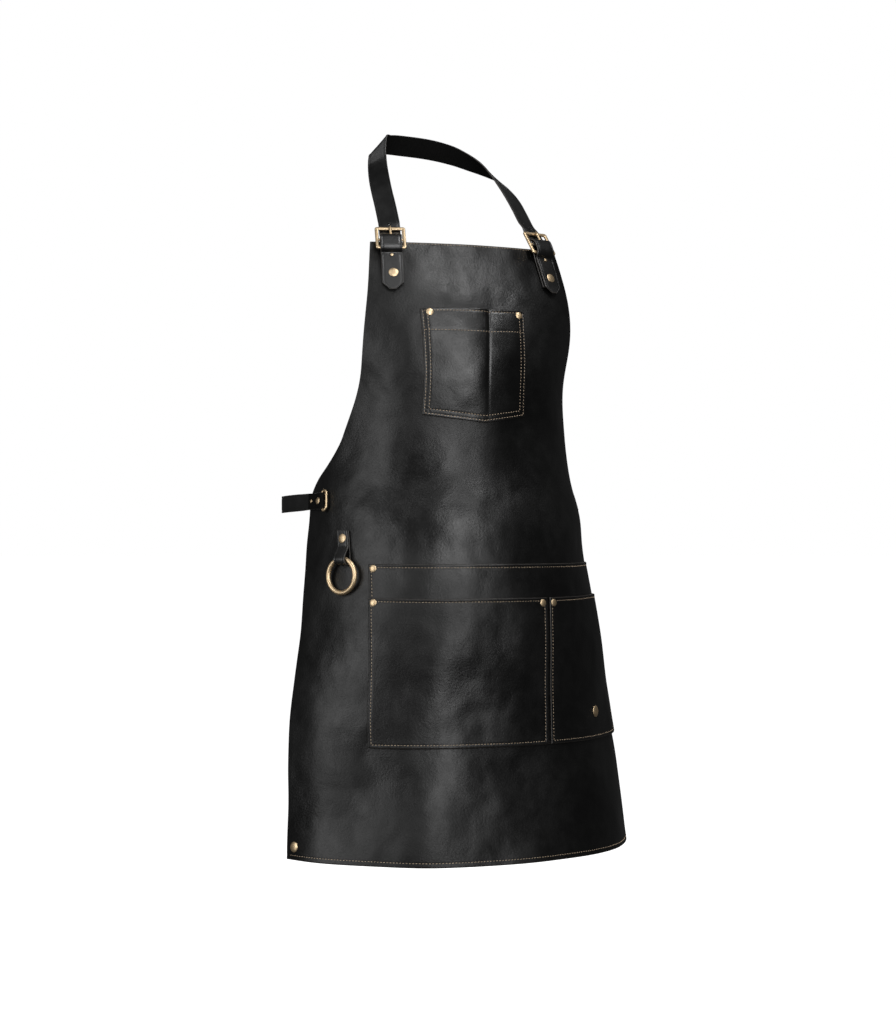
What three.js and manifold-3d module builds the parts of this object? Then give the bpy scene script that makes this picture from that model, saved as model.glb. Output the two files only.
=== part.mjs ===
// A worn leather work apron: bib, chest pocket, waist pockets, buckled neck strap, waist strap and tool ring.
// Millimetres, +Z up, the wearer faces -Y. The origin is where the neck strap sits on the back of the neck.
// The drawing frame below has its zero height at the hem; one group shifts it all to the origin.
import * as THREE from 'three';
import { mergeVertices } from 'three/addons/utils/BufferGeometryUtils.js';
import Module from 'manifold-3d';

const wasm = await Module();
wasm.setup();

// Driving sizes
const gap = 0.6;              // clearance between layers of leather
const fit = 0.3;              // clearance of metal in leather and of metal on metal
const bodyThick = 2.0;
const pocketThick = 1.8;
const strapThick = 2.4;
const tabThick = 2.2;
const bibTop = 820;
const waistHeight = 471.5;
const neckSeat = { y: 128.4, z: 974.6 };   // middle of the strap's inner face at the back of the neck

// How the apron hangs: each section is an arc of this radius whose middle lies at y = front
const sections = [
  { z: 0, radius: 278, front: -165 },
  { z: 150, radius: 263, front: -138 },
  { z: 300, radius: 221, front: -136 },
  { z: 430, radius: 198, front: -120 },
  { z: 560, radius: 181, front: -88 },
  { z: 650, radius: 186, front: -95 },
  { z: 740, radius: 290, front: -73 },
  { z: 820, radius: 430, front: -32 },
];

// The cut of the leather: half its width, measured round the body
const outline = [
  { z: 0, half: 315 },
  { z: 100, half: 304 },
  { z: 300, half: 304 },
  { z: 400, half: 298 },
  { z: 455, half: 292 },
  { z: 478, half: 287 },
  { z: 500, half: 267 },
  { z: 520, half: 240 },
  { z: 540, half: 220 },
  { z: 560, half: 206 },
  { z: 600, half: 190 },
  { z: 660, half: 175 },
  { z: 740, half: 156 },
  { z: 820, half: 138 },
];

// Soft folds and dents: middle, reach along and across the fold, turn of its length, height
const folds = [
  { s: -190, z: 452, along: 95, wide: 34, turn: -12, height: 4.0 },
  { s: 190, z: 450, along: 95, wide: 34, turn: 14, height: 4.0 },
  { s: 10, z: 455, along: 120, wide: 36, turn: 0, height: 3.0 },
  { s: -20, z: 520, along: 130, wide: 34, turn: 4, height: -3.0 },
  { s: -120, z: 610, along: 110, wide: 36, turn: 78, height: 3.0 },
  { s: 100, z: 640, along: 100, wide: 38, turn: -70, height: 3.0 },
  { s: -245, z: 160, along: 170, wide: 42, turn: 84, height: 4.5 },
  { s: -110, z: 50, along: 100, wide: 50, turn: 70, height: 3.5 },
  { s: 60, z: 40, along: 100, wide: 48, turn: -75, height: -3.0 },
  { s: 190, z: 60, along: 120, wide: 50, turn: -80, height: 4.0 },
];

// Pockets: left and right edge, bottom and top edge
const chest = { left: -85, right: 61, bottom: 586, top: 727, point: { s: -3, z: 576 }, belly: 2.0 };
const back = { left: -176, right: 285, bottom: 150, top: 389 };
const frontLeft = { left: -176, right: 72, bottom: 150, top: 344, belly: 2.6 };
const frontRight = { left: 77, right: 285, bottom: 150, top: 344, belly: 2.2 };

// Rivets and studs: place on the drape, how far their seat stands off it, head size
const rivetPost = 1.6;
const rivetCap = { radius: 3.6, height: 0.9 };
const headGap = 0.45;         // room under a rivet's head for the curve of the leather
const capGap = 1.2;           // and behind its cap
const pocketSeat = gap + pocketThick;
const frontSeat = 2 * pocketSeat;
const loopSeat = 2 * (gap + tabThick);
const tailSeat = gap + tabThick + gap + strapThick;
const small = { radius: 5, dome: 1.5 };
const tailHead = { radius: 6.5, dome: 1.3 };
const waistHead = { radius: 4.8, dome: 1.5 };
const chestLayers = ['apron_body', 'chest_pocket'];
const bandLayers = ['apron_body', 'pocket_back'];
const leftLayers = ['apron_body', 'pocket_back', 'pocket_left'];
const rightLayers = ['apron_body', 'pocket_back', 'pocket_right'];
const waistLayers = ['apron_body', 'waist_strap'];
const rivets = [
  { name: 'chest_rivet_left', s: -75, z: 721, seat: pocketSeat, ...small, through: chestLayers },
  { name: 'chest_rivet_right', s: 51, z: 720.5, seat: pocketSeat, ...small, through: chestLayers },
  { name: 'band_rivet', s: -168.5, z: 383, seat: pocketSeat, ...small, through: bandLayers },
  { name: 'pocket_rivet_left', s: -168.5, z: 338, seat: frontSeat, ...small, through: leftLayers },
  { name: 'pocket_rivet_middle', s: 64.5, z: 337, seat: frontSeat, ...small, through: leftLayers },
  { name: 'pocket_rivet_right', s: 84, z: 337, seat: frontSeat, ...small, through: rightLayers },
  { name: 'pocket_stud', s: 174, z: 187, seat: frontSeat, radius: 8, dome: 2.6, through: rightLayers },
  { name: 'corner_rivet', s: -298, z: 17, seat: 0, radius: 7, dome: 1.8, through: ['apron_body'] },
  { name: 'ring_loop_rivet', s: -211, z: 422, seat: loopSeat, radius: 6.3, dome: 1.6,
    through: ['apron_body', 'ring_loop'] },
  { name: 'waist_rivet', s: -251.5, z: waistHeight, seat: 8.2, ...waistHead, through: waistLayers },
  { name: 'waist_stud', s: -273, z: waistHeight, seat: 6.1, radius: 2.6, dome: 1.2, through: waistLayers },
  { name: 'waist_rivet_far', s: 262, z: waistHeight, seat: 2.7, ...waistHead, through: waistLayers },
  { name: 'tail_rivet_left', s: -115.5, z: 772.5, seat: tailSeat, ...tailHead,
    through: ['apron_body', 'neck_tab_left', 'neck_strap'] },
  { name: 'tail_rivet_right', s: 115.5, z: 775.5, seat: tailSeat, ...tailHead,
    through: ['apron_body', 'neck_tab_right', 'neck_strap'] },
];
const rivetSides = 8;
const wireSides = 8;
const holeSides = 6;

// Neck strap and its two buckles
const neckWidth = 29;
// Tails: length of the point, then places under the hinge bar; s is at the level, and shrinks by lean upwards
const tail = { point: 8.5, half: 4, rivet: 777, low: 32, high: 17.8, level: 752, s: 119.1, lean: 0.13 };
const tabEnd = 20;            // where the tab leaves the bib, under the hinge bar
const tailStud = { below: 21.3, rise: 1.2, radius: 2.5, dome: 1.1 };   // rise: of the strap at the stud
const buckle = { lift: 6.8, wire: 1.8, width: 36.8, above: 20, below: 13.5, corner: 5 };
const buckleSides = [
  { word: 'right', side: 1, s: 108.6, z: 822.5, tip: 755 },
  { word: 'left', side: -1, s: 111.2, z: 818.5, tip: 750.5 },
];
const spareHole = { up: 32, radius: 1.5 };
const buckleUp = new THREE.Vector3(-0.153, 0.563, 0.81).normalize();
const buckleAcross = new THREE.Vector3(0.974, 0.2, -0.105);
const turnFrom = 20;          // above its buckle the strap begins to turn towards the neck
const turnReach = 14;
const hingeBar = 1.7;
const prongWire = 1.2;

// The neck strap's route on the wearer's left: neck-side edge, then the way across to its outer edge
const neckRoute = [
  { x: 88.5, y: 4, z: 860, ax: 26, ay: 9, az: -5 },
  { x: 87, y: 22.5, z: 880, ax: 26, ay: 9, az: -5 },
  { x: 84.5, y: 41, z: 900, ax: 26, ay: 9, az: -5 },
  { x: 81, y: 60, z: 920, ax: 25, ay: 11, az: -7 },
  { x: 76.5, y: 80, z: 940, ax: 22, ay: 14, az: -11 },
  { x: 71, y: 100, z: 957, ax: 16, ay: 17, az: -17 },
  { x: 57, y: 114, z: 971, ax: 9, ay: 16, az: -22 },
  { x: 38, y: 121, z: 981, ax: 4, ay: 13, az: -25 },
  { x: 5, y: 124, z: 988, ax: 0, ay: 10, az: -26 },
  { x: -38, y: 121, z: 990, ax: -4, ay: 9, az: -26 },
  { x: -58, y: 113, z: 988, ax: -9, ay: 9, az: -25 },
  { x: -68, y: 103, z: 985, ax: -21, ay: 6, az: -26, half: 18.5 },
  { x: -72, y: 97, z: 968, ax: -22, ay: 9, az: -15 },
  { x: -74, y: 90, z: 953, ax: -22, ay: 13, az: -12 },
  { x: -77, y: 78, z: 938, ax: -23, ay: 13, az: -10 },
  { x: -81, y: 60, z: 920, ax: -25, ay: 11, az: -7 },
  { x: -84.5, y: 41, z: 900, ax: -26, ay: 9, az: -5 },
  { x: -87, y: 22.5, z: 880, ax: -26, ay: 9, az: -5 },
  { x: -90, y: 4, z: 860, ax: -26, ay: 9, az: -5 },
];

// Waist strap: its buckled end on the wearer's right, the way round the back, its riveted end
const waistWidth = 23.5;
const waistThick = 2.2;
const waistFrame = { bar: -245, bow: -236.5, wire: 1.5, height: 28.5, barCorner: 1.9, bowCorner: 6 };
const waistEnd = [
  { s: -282, lift: 4.8 },
  { s: -273, lift: 4.8 },
  { s: -262, lift: 5.0 },
  { s: -255, lift: 5.9 },
  { s: -250.5, lift: 6.8 },
];
const waistFar = [287, 275, 262, 246];
const waistRoute = [
  { x: -202, y: 105, drop: 1 },
  { x: -206, y: 130, drop: 2 },
  { x: -204, y: 155, drop: 2.6 },
  { x: -194, y: 182, drop: 2 },
  { x: -174, y: 206, drop: 0.5 },
  { x: -142, y: 226, drop: -2.5 },
  { x: -100, y: 239, drop: -4 },
  { x: -50, y: 246, drop: -4.5 },
  { x: 0, y: 248, drop: -4.5 },
  { x: 50, y: 246, drop: -4.5 },
  { x: 100, y: 239, drop: -4 },
  { x: 142, y: 226, drop: -2.5 },
  { x: 174, y: 206, drop: 0.5 },
  { x: 194, y: 182, drop: 2 },
  { x: 204, y: 155, drop: 2.6 },
  { x: 206, y: 130, drop: 2 },
  { x: 202, y: 105, drop: 1 },
];

// Tool ring and the leather loop that carries it
const ring = { s: -211, radius: 22.5, wire: 3.2, swing: 393.6, rise: 1, points: 20 };
const loop = { width: 18.5, top: 432.5, rivet: 422, fold: 411, inner: 5.6 };
const ringLift = gap + tabThick + loop.inner;

const leather = { color: 0x1d1c1b, roughness: 0.55, metalness: 0 };
const brass = { color: 0xc9a45c, roughness: 0.3, metalness: 1 };

const V = (x, y, z) => new THREE.Vector3(x, y, z);

// A smooth curve through one column of a table, with the slope at a row taken from its neighbours
function along(rows, key, z) {
  const last = rows.length - 2;
  let i = 0;
  while (i < last && z > rows[i + 1].z) i += 1;
  const slope = (k) => {
    const before = rows[Math.max(k - 1, 0)];
    const after = rows[Math.min(k + 1, rows.length - 1)];
    return (after[key] - before[key]) / (after.z - before.z);
  };
  const span = rows[i + 1].z - rows[i].z;
  const t = (z - rows[i].z) / span;
  const rise = span * (t ** 3 - 2 * t ** 2 + t) * slope(i) + span * (t ** 3 - t ** 2) * slope(i + 1);
  const blend = 3 * t ** 2 - 2 * t ** 3;
  return rows[i][key] * (1 - blend) + rows[i + 1][key] * blend + rise;
}

// Height of all the soft folds at one place
function foldAt(s, z) {
  let height = 0;
  for (const fold of folds) {
    const turn = THREE.MathUtils.degToRad(fold.turn);
    const run = ((s - fold.s) * Math.cos(turn) + (z - fold.z) * Math.sin(turn)) / fold.along;
    const side = ((z - fold.z) * Math.cos(turn) - (s - fold.s) * Math.sin(turn)) / fold.wide;
    height += fold.height * Math.exp(-run * run - side * side);
  }
  return height;
}

// The apron's outer face, s measured round the body from the middle of the front
function skin(s, z) {
  const radius = along(sections, 'radius', z);
  const front = along(sections, 'front', z);
  const angle = s / radius;
  const reach = radius + foldAt(s, z);
  return V(reach * Math.sin(angle), front + radius - reach * Math.cos(angle), z);
}

function outward(s, z) {
  const step = 0.5;
  const across = skin(s + step, z).sub(skin(s - step, z));
  const up = skin(s, z + step).sub(skin(s, z - step));
  return across.cross(up).normalize();
}

const drape = (s, z, lift) => skin(s, z).addScaledVector(outward(s, z), lift);

function solid(positions, index) {
  const geometry = new THREE.BufferGeometry();
  geometry.setAttribute('position', new THREE.Float32BufferAttribute(positions, 3));
  geometry.setIndex(index);
  return geometry;
}

// A closed sheet: at(u, v, side) gives its inner face (side 0) and outer face (side 1)
function sheet(columns, rows, at) {
  const positions = [];
  const index = [];
  const id = (i, j, side) => (side * (rows + 1) + j) * (columns + 1) + i;
  const quad = (a, b, c, d) => index.push(a, b, c, a, c, d);
  for (const side of [0, 1]) {
    for (let j = 0; j <= rows; j += 1) {
      for (let i = 0; i <= columns; i += 1) positions.push(...at(i / columns, j / rows, side).toArray());
    }
  }
  for (let j = 0; j < rows; j += 1) {
    for (let i = 0; i < columns; i += 1) {
      quad(id(i, j, 1), id(i + 1, j, 1), id(i + 1, j + 1, 1), id(i, j + 1, 1));
      quad(id(i, j, 0), id(i, j + 1, 0), id(i + 1, j + 1, 0), id(i + 1, j, 0));
    }
    quad(id(0, j, 0), id(0, j, 1), id(0, j + 1, 1), id(0, j + 1, 0));
    quad(id(columns, j, 0), id(columns, j + 1, 0), id(columns, j + 1, 1), id(columns, j, 1));
  }
  for (let i = 0; i < columns; i += 1) {
    quad(id(i, 0, 0), id(i + 1, 0, 0), id(i + 1, 0, 1), id(i, 0, 1));
    quad(id(i, rows, 0), id(i, rows, 1), id(i + 1, rows, 1), id(i + 1, rows, 0));
  }
  return solid(positions, index);
}

// A flat strap through stations { at, across, half }; across may lie slanting, as it does along a fold
function ribbon(stations, thick) {
  const path = new THREE.CatmullRomCurve3(stations.map((k) => k.at), false, 'centripetal');
  const spans = stations.length - 1;
  const frames = stations.map((station, k) => {
    const tangent = path.getTangent(k / spans);
    const across = station.across.clone().normalize();
    return { across, out: across.clone().cross(tangent).normalize() };
  });
  return sheet(1, spans, (u, v, side) => {
    const k = Math.round(v * spans);
    return stations[k].at.clone()
      .addScaledVector(frames[k].across, (2 * u - 1) * stations[k].half)
      .addScaledVector(frames[k].out, (side - 0.5) * thick);
  });
}

// A round wire with two ends, along a smooth curve through points
function rod(points, radius) {
  const outlinePoints = Array.from({ length: holeSides }, (_, k) => {
    const turn = (2 * Math.PI * k) / holeSides;
    return new THREE.Vector2(radius * Math.cos(turn), radius * Math.sin(turn));
  });
  return new THREE.ExtrudeGeometry(new THREE.Shape(outlinePoints), {
    steps: points.length + 5,
    extrudePath: new THREE.CatmullRomCurve3(points, false, 'centripetal'),
    bevelEnabled: false,
  });
}

// A round wire that closes on itself, straight from point to point
function hoop(points, radius) {
  const centre = points.reduce((sum, p) => sum.add(p), V(0, 0, 0)).divideScalar(points.length);
  const normal = points[0].clone().sub(centre).cross(points[1].clone().sub(centre)).normalize();
  const positions = [];
  const index = [];
  const count = points.length;
  points.forEach((point, k) => {
    const tangent = points[(k + 1) % count].clone().sub(points[(k + count - 1) % count]).normalize();
    const inPlane = tangent.cross(normal);
    for (let m = 0; m < wireSides; m += 1) {
      const turn = (2 * Math.PI * m) / wireSides;
      const rim = point.clone()
        .addScaledVector(inPlane, radius * Math.cos(turn))
        .addScaledVector(normal, radius * Math.sin(turn));
      positions.push(...rim.toArray());
      const next = (m + 1) % wireSides;
      const after = ((k + 1) % count) * wireSides;
      const a = k * wireSides + m;
      const b = k * wireSides + next;
      const c = after + next;
      const d = after + m;
      index.push(a, c, b, a, d, c);
    }
  });
  return solid(positions, index);
}

// Joining and cutting of closed solids
function toManifold(geometry) {
  const bare = geometry.clone();
  bare.deleteAttribute('normal');
  bare.deleteAttribute('uv');
  const merged = mergeVertices(bare, 1e-4);
  return new wasm.Manifold(new wasm.Mesh({
    numProp: 3,
    vertProperties: new Float32Array(merged.attributes.position.array),
    triVerts: new Uint32Array(merged.index.array),
  }));
}

function fromManifold(body) {
  const mesh = body.getMesh();
  return solid(Array.from(mesh.vertProperties), Array.from(mesh.triVerts));
}

const fused = (first, second) => fromManifold(toManifold(first).add(toManifold(second)));

function cut(first, tools) {
  return fromManifold(tools.reduce((body, tool) => body.subtract(toManifold(tool)), toManifold(first)));
}

// A straight pin between two points, for bars and for holes
function pin(from, to, radius, sides) {
  const geometry = new THREE.CylinderGeometry(radius, radius, from.distanceTo(to), sides);
  const turn = new THREE.Quaternion().setFromUnitVectors(V(0, 1, 0), to.clone().sub(from).normalize());
  const middle = from.clone().add(to).multiplyScalar(0.5);
  return geometry.applyQuaternion(turn).translate(middle.x, middle.y, middle.z);
}

// A rivet turned about its own axis: a domed head, a post of length grip, and a flat cap behind
function rivetShape(radius, dome, grip) {
  const cap = Math.min(rivetCap.radius, radius);
  const profile = [
    [0, -grip - rivetCap.height],
    [cap, -grip - rivetCap.height],
    [cap, -grip],
    [rivetPost, -grip],
    [rivetPost, 0],
    [radius, 0],
    [0.8 * radius, 0.75 * dome],
    [0, dome],
  ];
  return new THREE.LatheGeometry(profile.map(([r, h]) => new THREE.Vector2(r, h)), rivetSides);
}

const stood = (geometry, at, axis) => geometry
  .applyQuaternion(new THREE.Quaternion().setFromUnitVectors(V(0, 1, 0), axis))
  .translate(at.x, at.y, at.z);

const postReach = 4;
const rivetHole = (at, axis, grip) => pin(
  at.clone().addScaledVector(axis, postReach),
  at.clone().addScaledVector(axis, -grip - postReach),
  rivetPost + 2 * fit,
  holeSides,
);

const pieces = new Map();
const holes = new Map();
const addHole = (name, tool) => holes.set(name, [...(holes.get(name) ?? []), tool]);
const addPiece = (name, geometry, finish) => pieces.set(name, { geometry, finish });

// Rivets through the flat layers
for (const rivet of rivets) {
  const at = drape(rivet.s, rivet.z, rivet.seat + headGap);
  const axis = outward(rivet.s, rivet.z);
  const grip = rivet.seat + bodyThick + headGap + capGap;
  addPiece(rivet.name, stood(rivetShape(rivet.radius, rivet.dome, grip), at, axis), brass);
  for (const layer of rivet.through) addHole(layer, rivetHole(at, axis, grip));
}

// The body of the apron, its rows closer together where the armholes curve
const bodyColumns = 22;
const skirtRows = 14;
const bibRows = 15;
const bodyRows = skirtRows + bibRows;
const hipLine = 470;
const rowHeight = (v) => {
  const row = v * bodyRows;
  if (row <= skirtRows) return (hipLine * row) / skirtRows;
  return hipLine + ((bibTop - hipLine) * (row - skirtRows)) / bibRows;
};
addPiece('apron_body', sheet(bodyColumns, bodyRows, (u, v, side) => {
  const z = rowHeight(v);
  return drape((2 * u - 1) * along(outline, 'half', z), z, (side - 1) * bodyThick);
}), leather);

// A patch pocket: sewn flat at its sides and bottom, standing off a little at its mouth
function pocket(box, columns, rows, seat, bottomAt) {
  return sheet(columns, rows, (u, v, side) => {
    const s = box.left + (box.right - box.left) * u;
    const z = bottomAt(s) + (box.top - bottomAt(s)) * v;
    const belly = (box.belly ?? 0) * Math.sin(Math.PI * u) ** 2 * v ** 1.5;
    return drape(s, z, seat + gap + belly + side * pocketThick);
  });
}

const chestBottom = (s) => {
  const { point, left, right, bottom } = chest;
  const edge = s < point.s ? left : right;
  return point.z + ((bottom - point.z) * (s - point.s)) / (edge - point.s);
};
addPiece('chest_pocket', pocket(chest, 10, 8, 0, chestBottom), leather);
addPiece('pocket_back', pocket(back, 23, 7, 0, () => back.bottom), leather);
addPiece('pocket_left', pocket(frontLeft, 13, 7, pocketSeat, () => frontLeft.bottom), leather);
addPiece('pocket_right', pocket(frontRight, 11, 7, pocketSeat, () => frontRight.bottom), leather);

// The buckle's own frame of axes on one side: origin at its hinge bar, across, up the strap, and out
function buckleAxes({ side, s, z }) {
  const origin = drape(side * s, z, buckle.lift);
  const up = V(side * buckleUp.x, buckleUp.y, buckleUp.z);
  const across = V(buckleAcross.x, side * buckleAcross.y, side * buckleAcross.z);
  across.addScaledVector(up, -across.dot(up)).normalize();
  const out = across.clone().cross(up);
  const place = (a, b, n) => origin.clone()
    .addScaledVector(across, a)
    .addScaledVector(up, b)
    .addScaledVector(out, n);
  return { across, place };
}

// Points of a rectangle with round corners, in a plane given by place(a, b)
function roundedLoop(place, left, right, bottom, top, leftCorner, rightCorner) {
  const centres = [
    [right - rightCorner, bottom + rightCorner, -90, rightCorner],
    [right - rightCorner, top - rightCorner, 0, rightCorner],
    [left + leftCorner, top - leftCorner, 90, leftCorner],
    [left + leftCorner, bottom + leftCorner, 180, leftCorner],
  ];
  return centres.flatMap(([a, b, start, corner]) => [0, 30, 60, 90].map((step) => {
    const turn = THREE.MathUtils.degToRad(start + step);
    return place(a + corner * Math.cos(turn), b + corner * Math.sin(turn));
  }));
}

const tailLift = gap + tabThick + gap + strapThick / 2;
const tabLift = gap + tabThick / 2;
const tailS = (z) => tail.s - tail.lean * (z - tail.level);
const eyeRadius = hingeBar + fit + tabThick / 2;

// The strap where it passes its buckle: up the strap and out from the hinge bar
const strapInBuckle = [
  { up: -17.3, out: 1 },
  { up: -14.7, out: 4 },
  { up: -8, out: 5.9 },
  { up: -1, out: 6.6 },
  { up: 2.6, out: 6.1 },
  { up: 5.2, out: 4.2 },
  { up: 6.7, out: 1.7 },
  { up: 7.7, out: -0.7 },
  { up: 9.6, out: -2.8 },
  { up: 13, out: -3.8 },
  { up: 25, out: -3.9 },
  { up: spareHole.up, out: -3.9 },
];

// The tail of the strap below the buckle's hinge bar, from its tip up
const strapTail = ({ tip, z }) => [
  { z: tip, half: tail.half, lift: tailLift },
  { z: tip + tail.point, half: neckWidth / 2, lift: tailLift },
  { z: tail.rivet, half: neckWidth / 2, lift: tailLift },
  { z: z - tail.low, half: neckWidth / 2, lift: tailLift + 0.5 },
  { z: z - tail.high, half: neckWidth / 2, lift: tailLift + tailStud.rise },
];

const roundAt = (s, z) => skin(s + 1, z).sub(skin(s - 1, z)).normalize();
const upAt = (s, z) => skin(s, z + 1).sub(skin(s, z - 1)).normalize();

const strapHalves = [];
for (const where of buckleSides) {
  const { word, side } = where;
  const { across, place } = buckleAxes(where);
  const half = neckWidth / 2;
  const toNeckOuter = across.clone().multiplyScalar(side);
  const stations = strapTail(where).map((row) => {
    const s = side * tailS(row.z);
    return { at: drape(s, row.z, row.lift), across: roundAt(s, row.z).multiplyScalar(side), half: row.half };
  });
  const nextRow = neckRoute.at(side > 0 ? 0 : -1);
  const nextAcross = V(nextRow.ax, nextRow.ay, nextRow.az).normalize();
  for (const row of strapInBuckle) {
    const turned = THREE.MathUtils.clamp((row.up - turnFrom) / turnReach, 0, 1);
    const turnedAcross = toNeckOuter.clone().lerp(nextAcross, turned);
    stations.push({ at: place(0, row.up, row.out), across: turnedAcross, half });
  }
  strapHalves.push(stations);

  const bar = buckle.width / 2;
  const { above, below, corner } = buckle;
  const frame = roundedLoop((a, b) => place(a, b, 0), -bar, bar, -below, above, corner, corner);
  const hinge = pin(place(-bar, 0, 0), place(bar, 0, 0), hingeBar, wireSides);
  addPiece(`neck_buckle_${word}`, fused(hoop(frame, buckle.wire), hinge), brass);

  // The prong hooks round the hinge bar and lies over the top bar
  const hook = hingeBar + fit + prongWire;
  const prongPath = [
    place(0, above + 1.2, hook + 0.1),
    place(0, above - 2, hook + 0.1),
    place(0, 4, hook),
    ...[90, 45, 0, -45, -90, -125].map((deg) => {
      const turn = THREE.MathUtils.degToRad(deg);
      return place(0, -hook * Math.cos(turn), hook * Math.sin(turn));
    }),
  ];
  addPiece(`prong_${word}`, rod(prongPath, prongWire), brass);
  addHole('neck_strap', rod(prongPath, prongWire + gap));
  const [holeLow, holeHigh] = [-8, 1].map((out) => place(0, spareHole.up, out));
  addHole('neck_strap', pin(holeLow, holeHigh, spareHole.radius, wireSides));

  // The tab lies on the bib, turns round the hinge bar and stops short of itself
  const tabHeights = [where.tip + tail.point + 1, tail.rivet, where.z - tail.low, where.z - tabEnd];
  const tabStations = tabHeights.map((z) => {
    const s = side * tailS(z);
    return { at: drape(s, z, tabLift), across: roundAt(s, z), half };
  });
  tabStations.push({ at: place(0, -6, -eyeRadius - 0.6), across, half });
  for (const deg of [-90, -55, -20, 15, 50, 90, 130, 165]) {
    const turn = THREE.MathUtils.degToRad(deg);
    tabStations.push({ at: place(0, eyeRadius * Math.cos(turn), eyeRadius * Math.sin(turn)), across, half });
  }
  const slotReach = 2 * hook + 7;
  const slot = new THREE.BoxGeometry(2 * (prongWire + gap), slotReach, slotReach);
  const hingeAt = place(0, 0, 0);
  const axes = [place(1, 0, 0), place(0, 1, 0), place(0, 0, 1)].map((p) => p.sub(hingeAt));
  slot.applyMatrix4(new THREE.Matrix4().makeBasis(...axes).setPosition(hingeAt));
  addPiece(`neck_tab_${word}`, ribbon(tabStations, tabThick), leather);
  addHole(`neck_tab_${word}`, slot);

  // A small stud through the tail just under the buckle
  const studZ = where.z - tailStud.below;
  const studS = side * tailS(studZ);
  const studSeat = tailSeat + tailStud.rise;
  const studAxis = outward(studS, studZ);
  const studAt = drape(studS, studZ, studSeat + headGap);
  const studGrip = studSeat + bodyThick + headGap + capGap;
  const studShape = rivetShape(tailStud.radius, tailStud.dome, studGrip);
  addPiece(`tail_stud_${word}`, stood(studShape, studAt, studAxis), brass);
  for (const layer of ['apron_body', `neck_tab_${word}`, 'neck_strap']) {
    addHole(layer, rivetHole(studAt, studAxis, studGrip));
  }
}

// The neck strap: up from one tail, round the back of the neck, down to the other
const neckStations = neckRoute.map((row) => {
  const across = V(row.ax, row.ay, row.az).normalize();
  const half = row.half ?? neckWidth / 2;
  return { at: V(row.x, row.y, row.z).addScaledVector(across, half), across, half };
});
const wholeStrap = [...strapHalves[0], ...neckStations, ...strapHalves[1].reverse()];
addPiece('neck_strap', ribbon(wholeStrap, strapThick), leather);

// The leather loop that carries the tool ring: down the body, round the ring, back up over itself
const loopBack = gap + tabThick / 2;
const loopFront = loopBack + tabThick + gap;
const loopTurn = loop.inner + tabThick / 2;
const loopRows = [
  { z: loop.top, lift: loopBack },
  { z: loop.rivet, lift: loopBack },
  { z: loop.fold, lift: loopBack },
  { z: ring.swing + 4, lift: loopBack },
  ...[180, 150, 120, 90, 60, 30, 0].map((deg) => {
    const turn = THREE.MathUtils.degToRad(deg);
    return { z: ring.swing - loopTurn * Math.sin(turn), lift: ringLift + loopTurn * Math.cos(turn) };
  }),
  { z: ring.swing + 5, lift: ringLift + 4.2 },
  { z: loop.fold - 1, lift: loopFront + 0.8 },
  { z: loop.fold + 2, lift: loopFront },
  { z: loop.rivet, lift: loopFront },
  { z: loop.top, lift: loopFront },
];
addPiece('ring_loop', ribbon(loopRows.map((row) => ({
  at: drape(ring.s, row.z, row.lift),
  across: roundAt(ring.s, row.z),
  half: loop.width / 2,
})), tabThick), leather);

// The tool ring hangs in the loop and leans on the leather
const ringTop = drape(ring.s, ring.swing, ringLift);
const ringAcross = roundAt(ring.s, ring.swing);
const ringDown = drape(ring.s, ring.swing - 2 * ring.radius, ring.wire + 2 * gap).sub(ringTop);
ringDown.addScaledVector(ringAcross, -ringDown.dot(ringAcross)).normalize();
const ringMiddle = ringTop.clone().addScaledVector(ringDown, ring.radius - ring.rise);
const ringPoints = Array.from({ length: ring.points }, (_, k) => {
  const turn = (2 * Math.PI * k) / ring.points;
  return ringMiddle.clone()
    .addScaledVector(ringAcross, ring.radius * Math.sin(turn))
    .addScaledVector(ringDown, -ring.radius * Math.cos(turn));
});
addPiece('tool_ring', hoop(ringPoints, ring.wire), brass);

// The waist strap: folded round the bar of its frame, round the back, riveted flat at the far corner
const waistBack = gap + waistThick / 2;
const waistTurn = waistFrame.wire + fit + waistThick / 2;
const barLift = waistBack + waistTurn;
const barAt = drape(waistFrame.bar, waistHeight, barLift);
const frameUp = upAt(waistFrame.bar, waistHeight);
const frameOut = outward(waistFrame.bar, waistHeight);
const frameRound = frameUp.clone().cross(frameOut);
const waistPlace = (s, lift) => ({
  at: drape(s, waistHeight, lift),
  across: upAt(s, waistHeight),
  half: waistWidth / 2,
});
addPiece('waist_strap', ribbon([
  ...waistEnd.map((row) => waistPlace(row.s, row.lift)),
  ...[90, 60, 30, 0, -30, -60, -90].map((deg) => {
    const turn = THREE.MathUtils.degToRad(deg);
    const at = barAt.clone()
      .addScaledVector(frameRound, waistTurn * Math.cos(turn))
      .addScaledVector(frameOut, waistTurn * Math.sin(turn));
    return { at, across: frameUp, half: waistWidth / 2 };
  }),
  ...[-251, -263, -275, -287].map((s) => waistPlace(s, waistBack)),
  ...waistRoute.map((row) => ({
    at: V(row.x, row.y, waistHeight - row.drop),
    across: V(0, 0, 1),
    half: waistWidth / 2,
  })),
  ...waistFar.map((s) => waistPlace(s, waistBack)),
], waistThick), leather);

const framePoints = roundedLoop(
  (a, b) => barAt.clone().addScaledVector(frameRound, a).addScaledVector(frameUp, b),
  0,
  waistFrame.bow - waistFrame.bar,
  -waistFrame.height / 2,
  waistFrame.height / 2,
  waistFrame.barCorner,
  waistFrame.bowCorner,
);
addPiece('waist_frame', hoop(framePoints, waistFrame.wire), brass);

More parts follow.
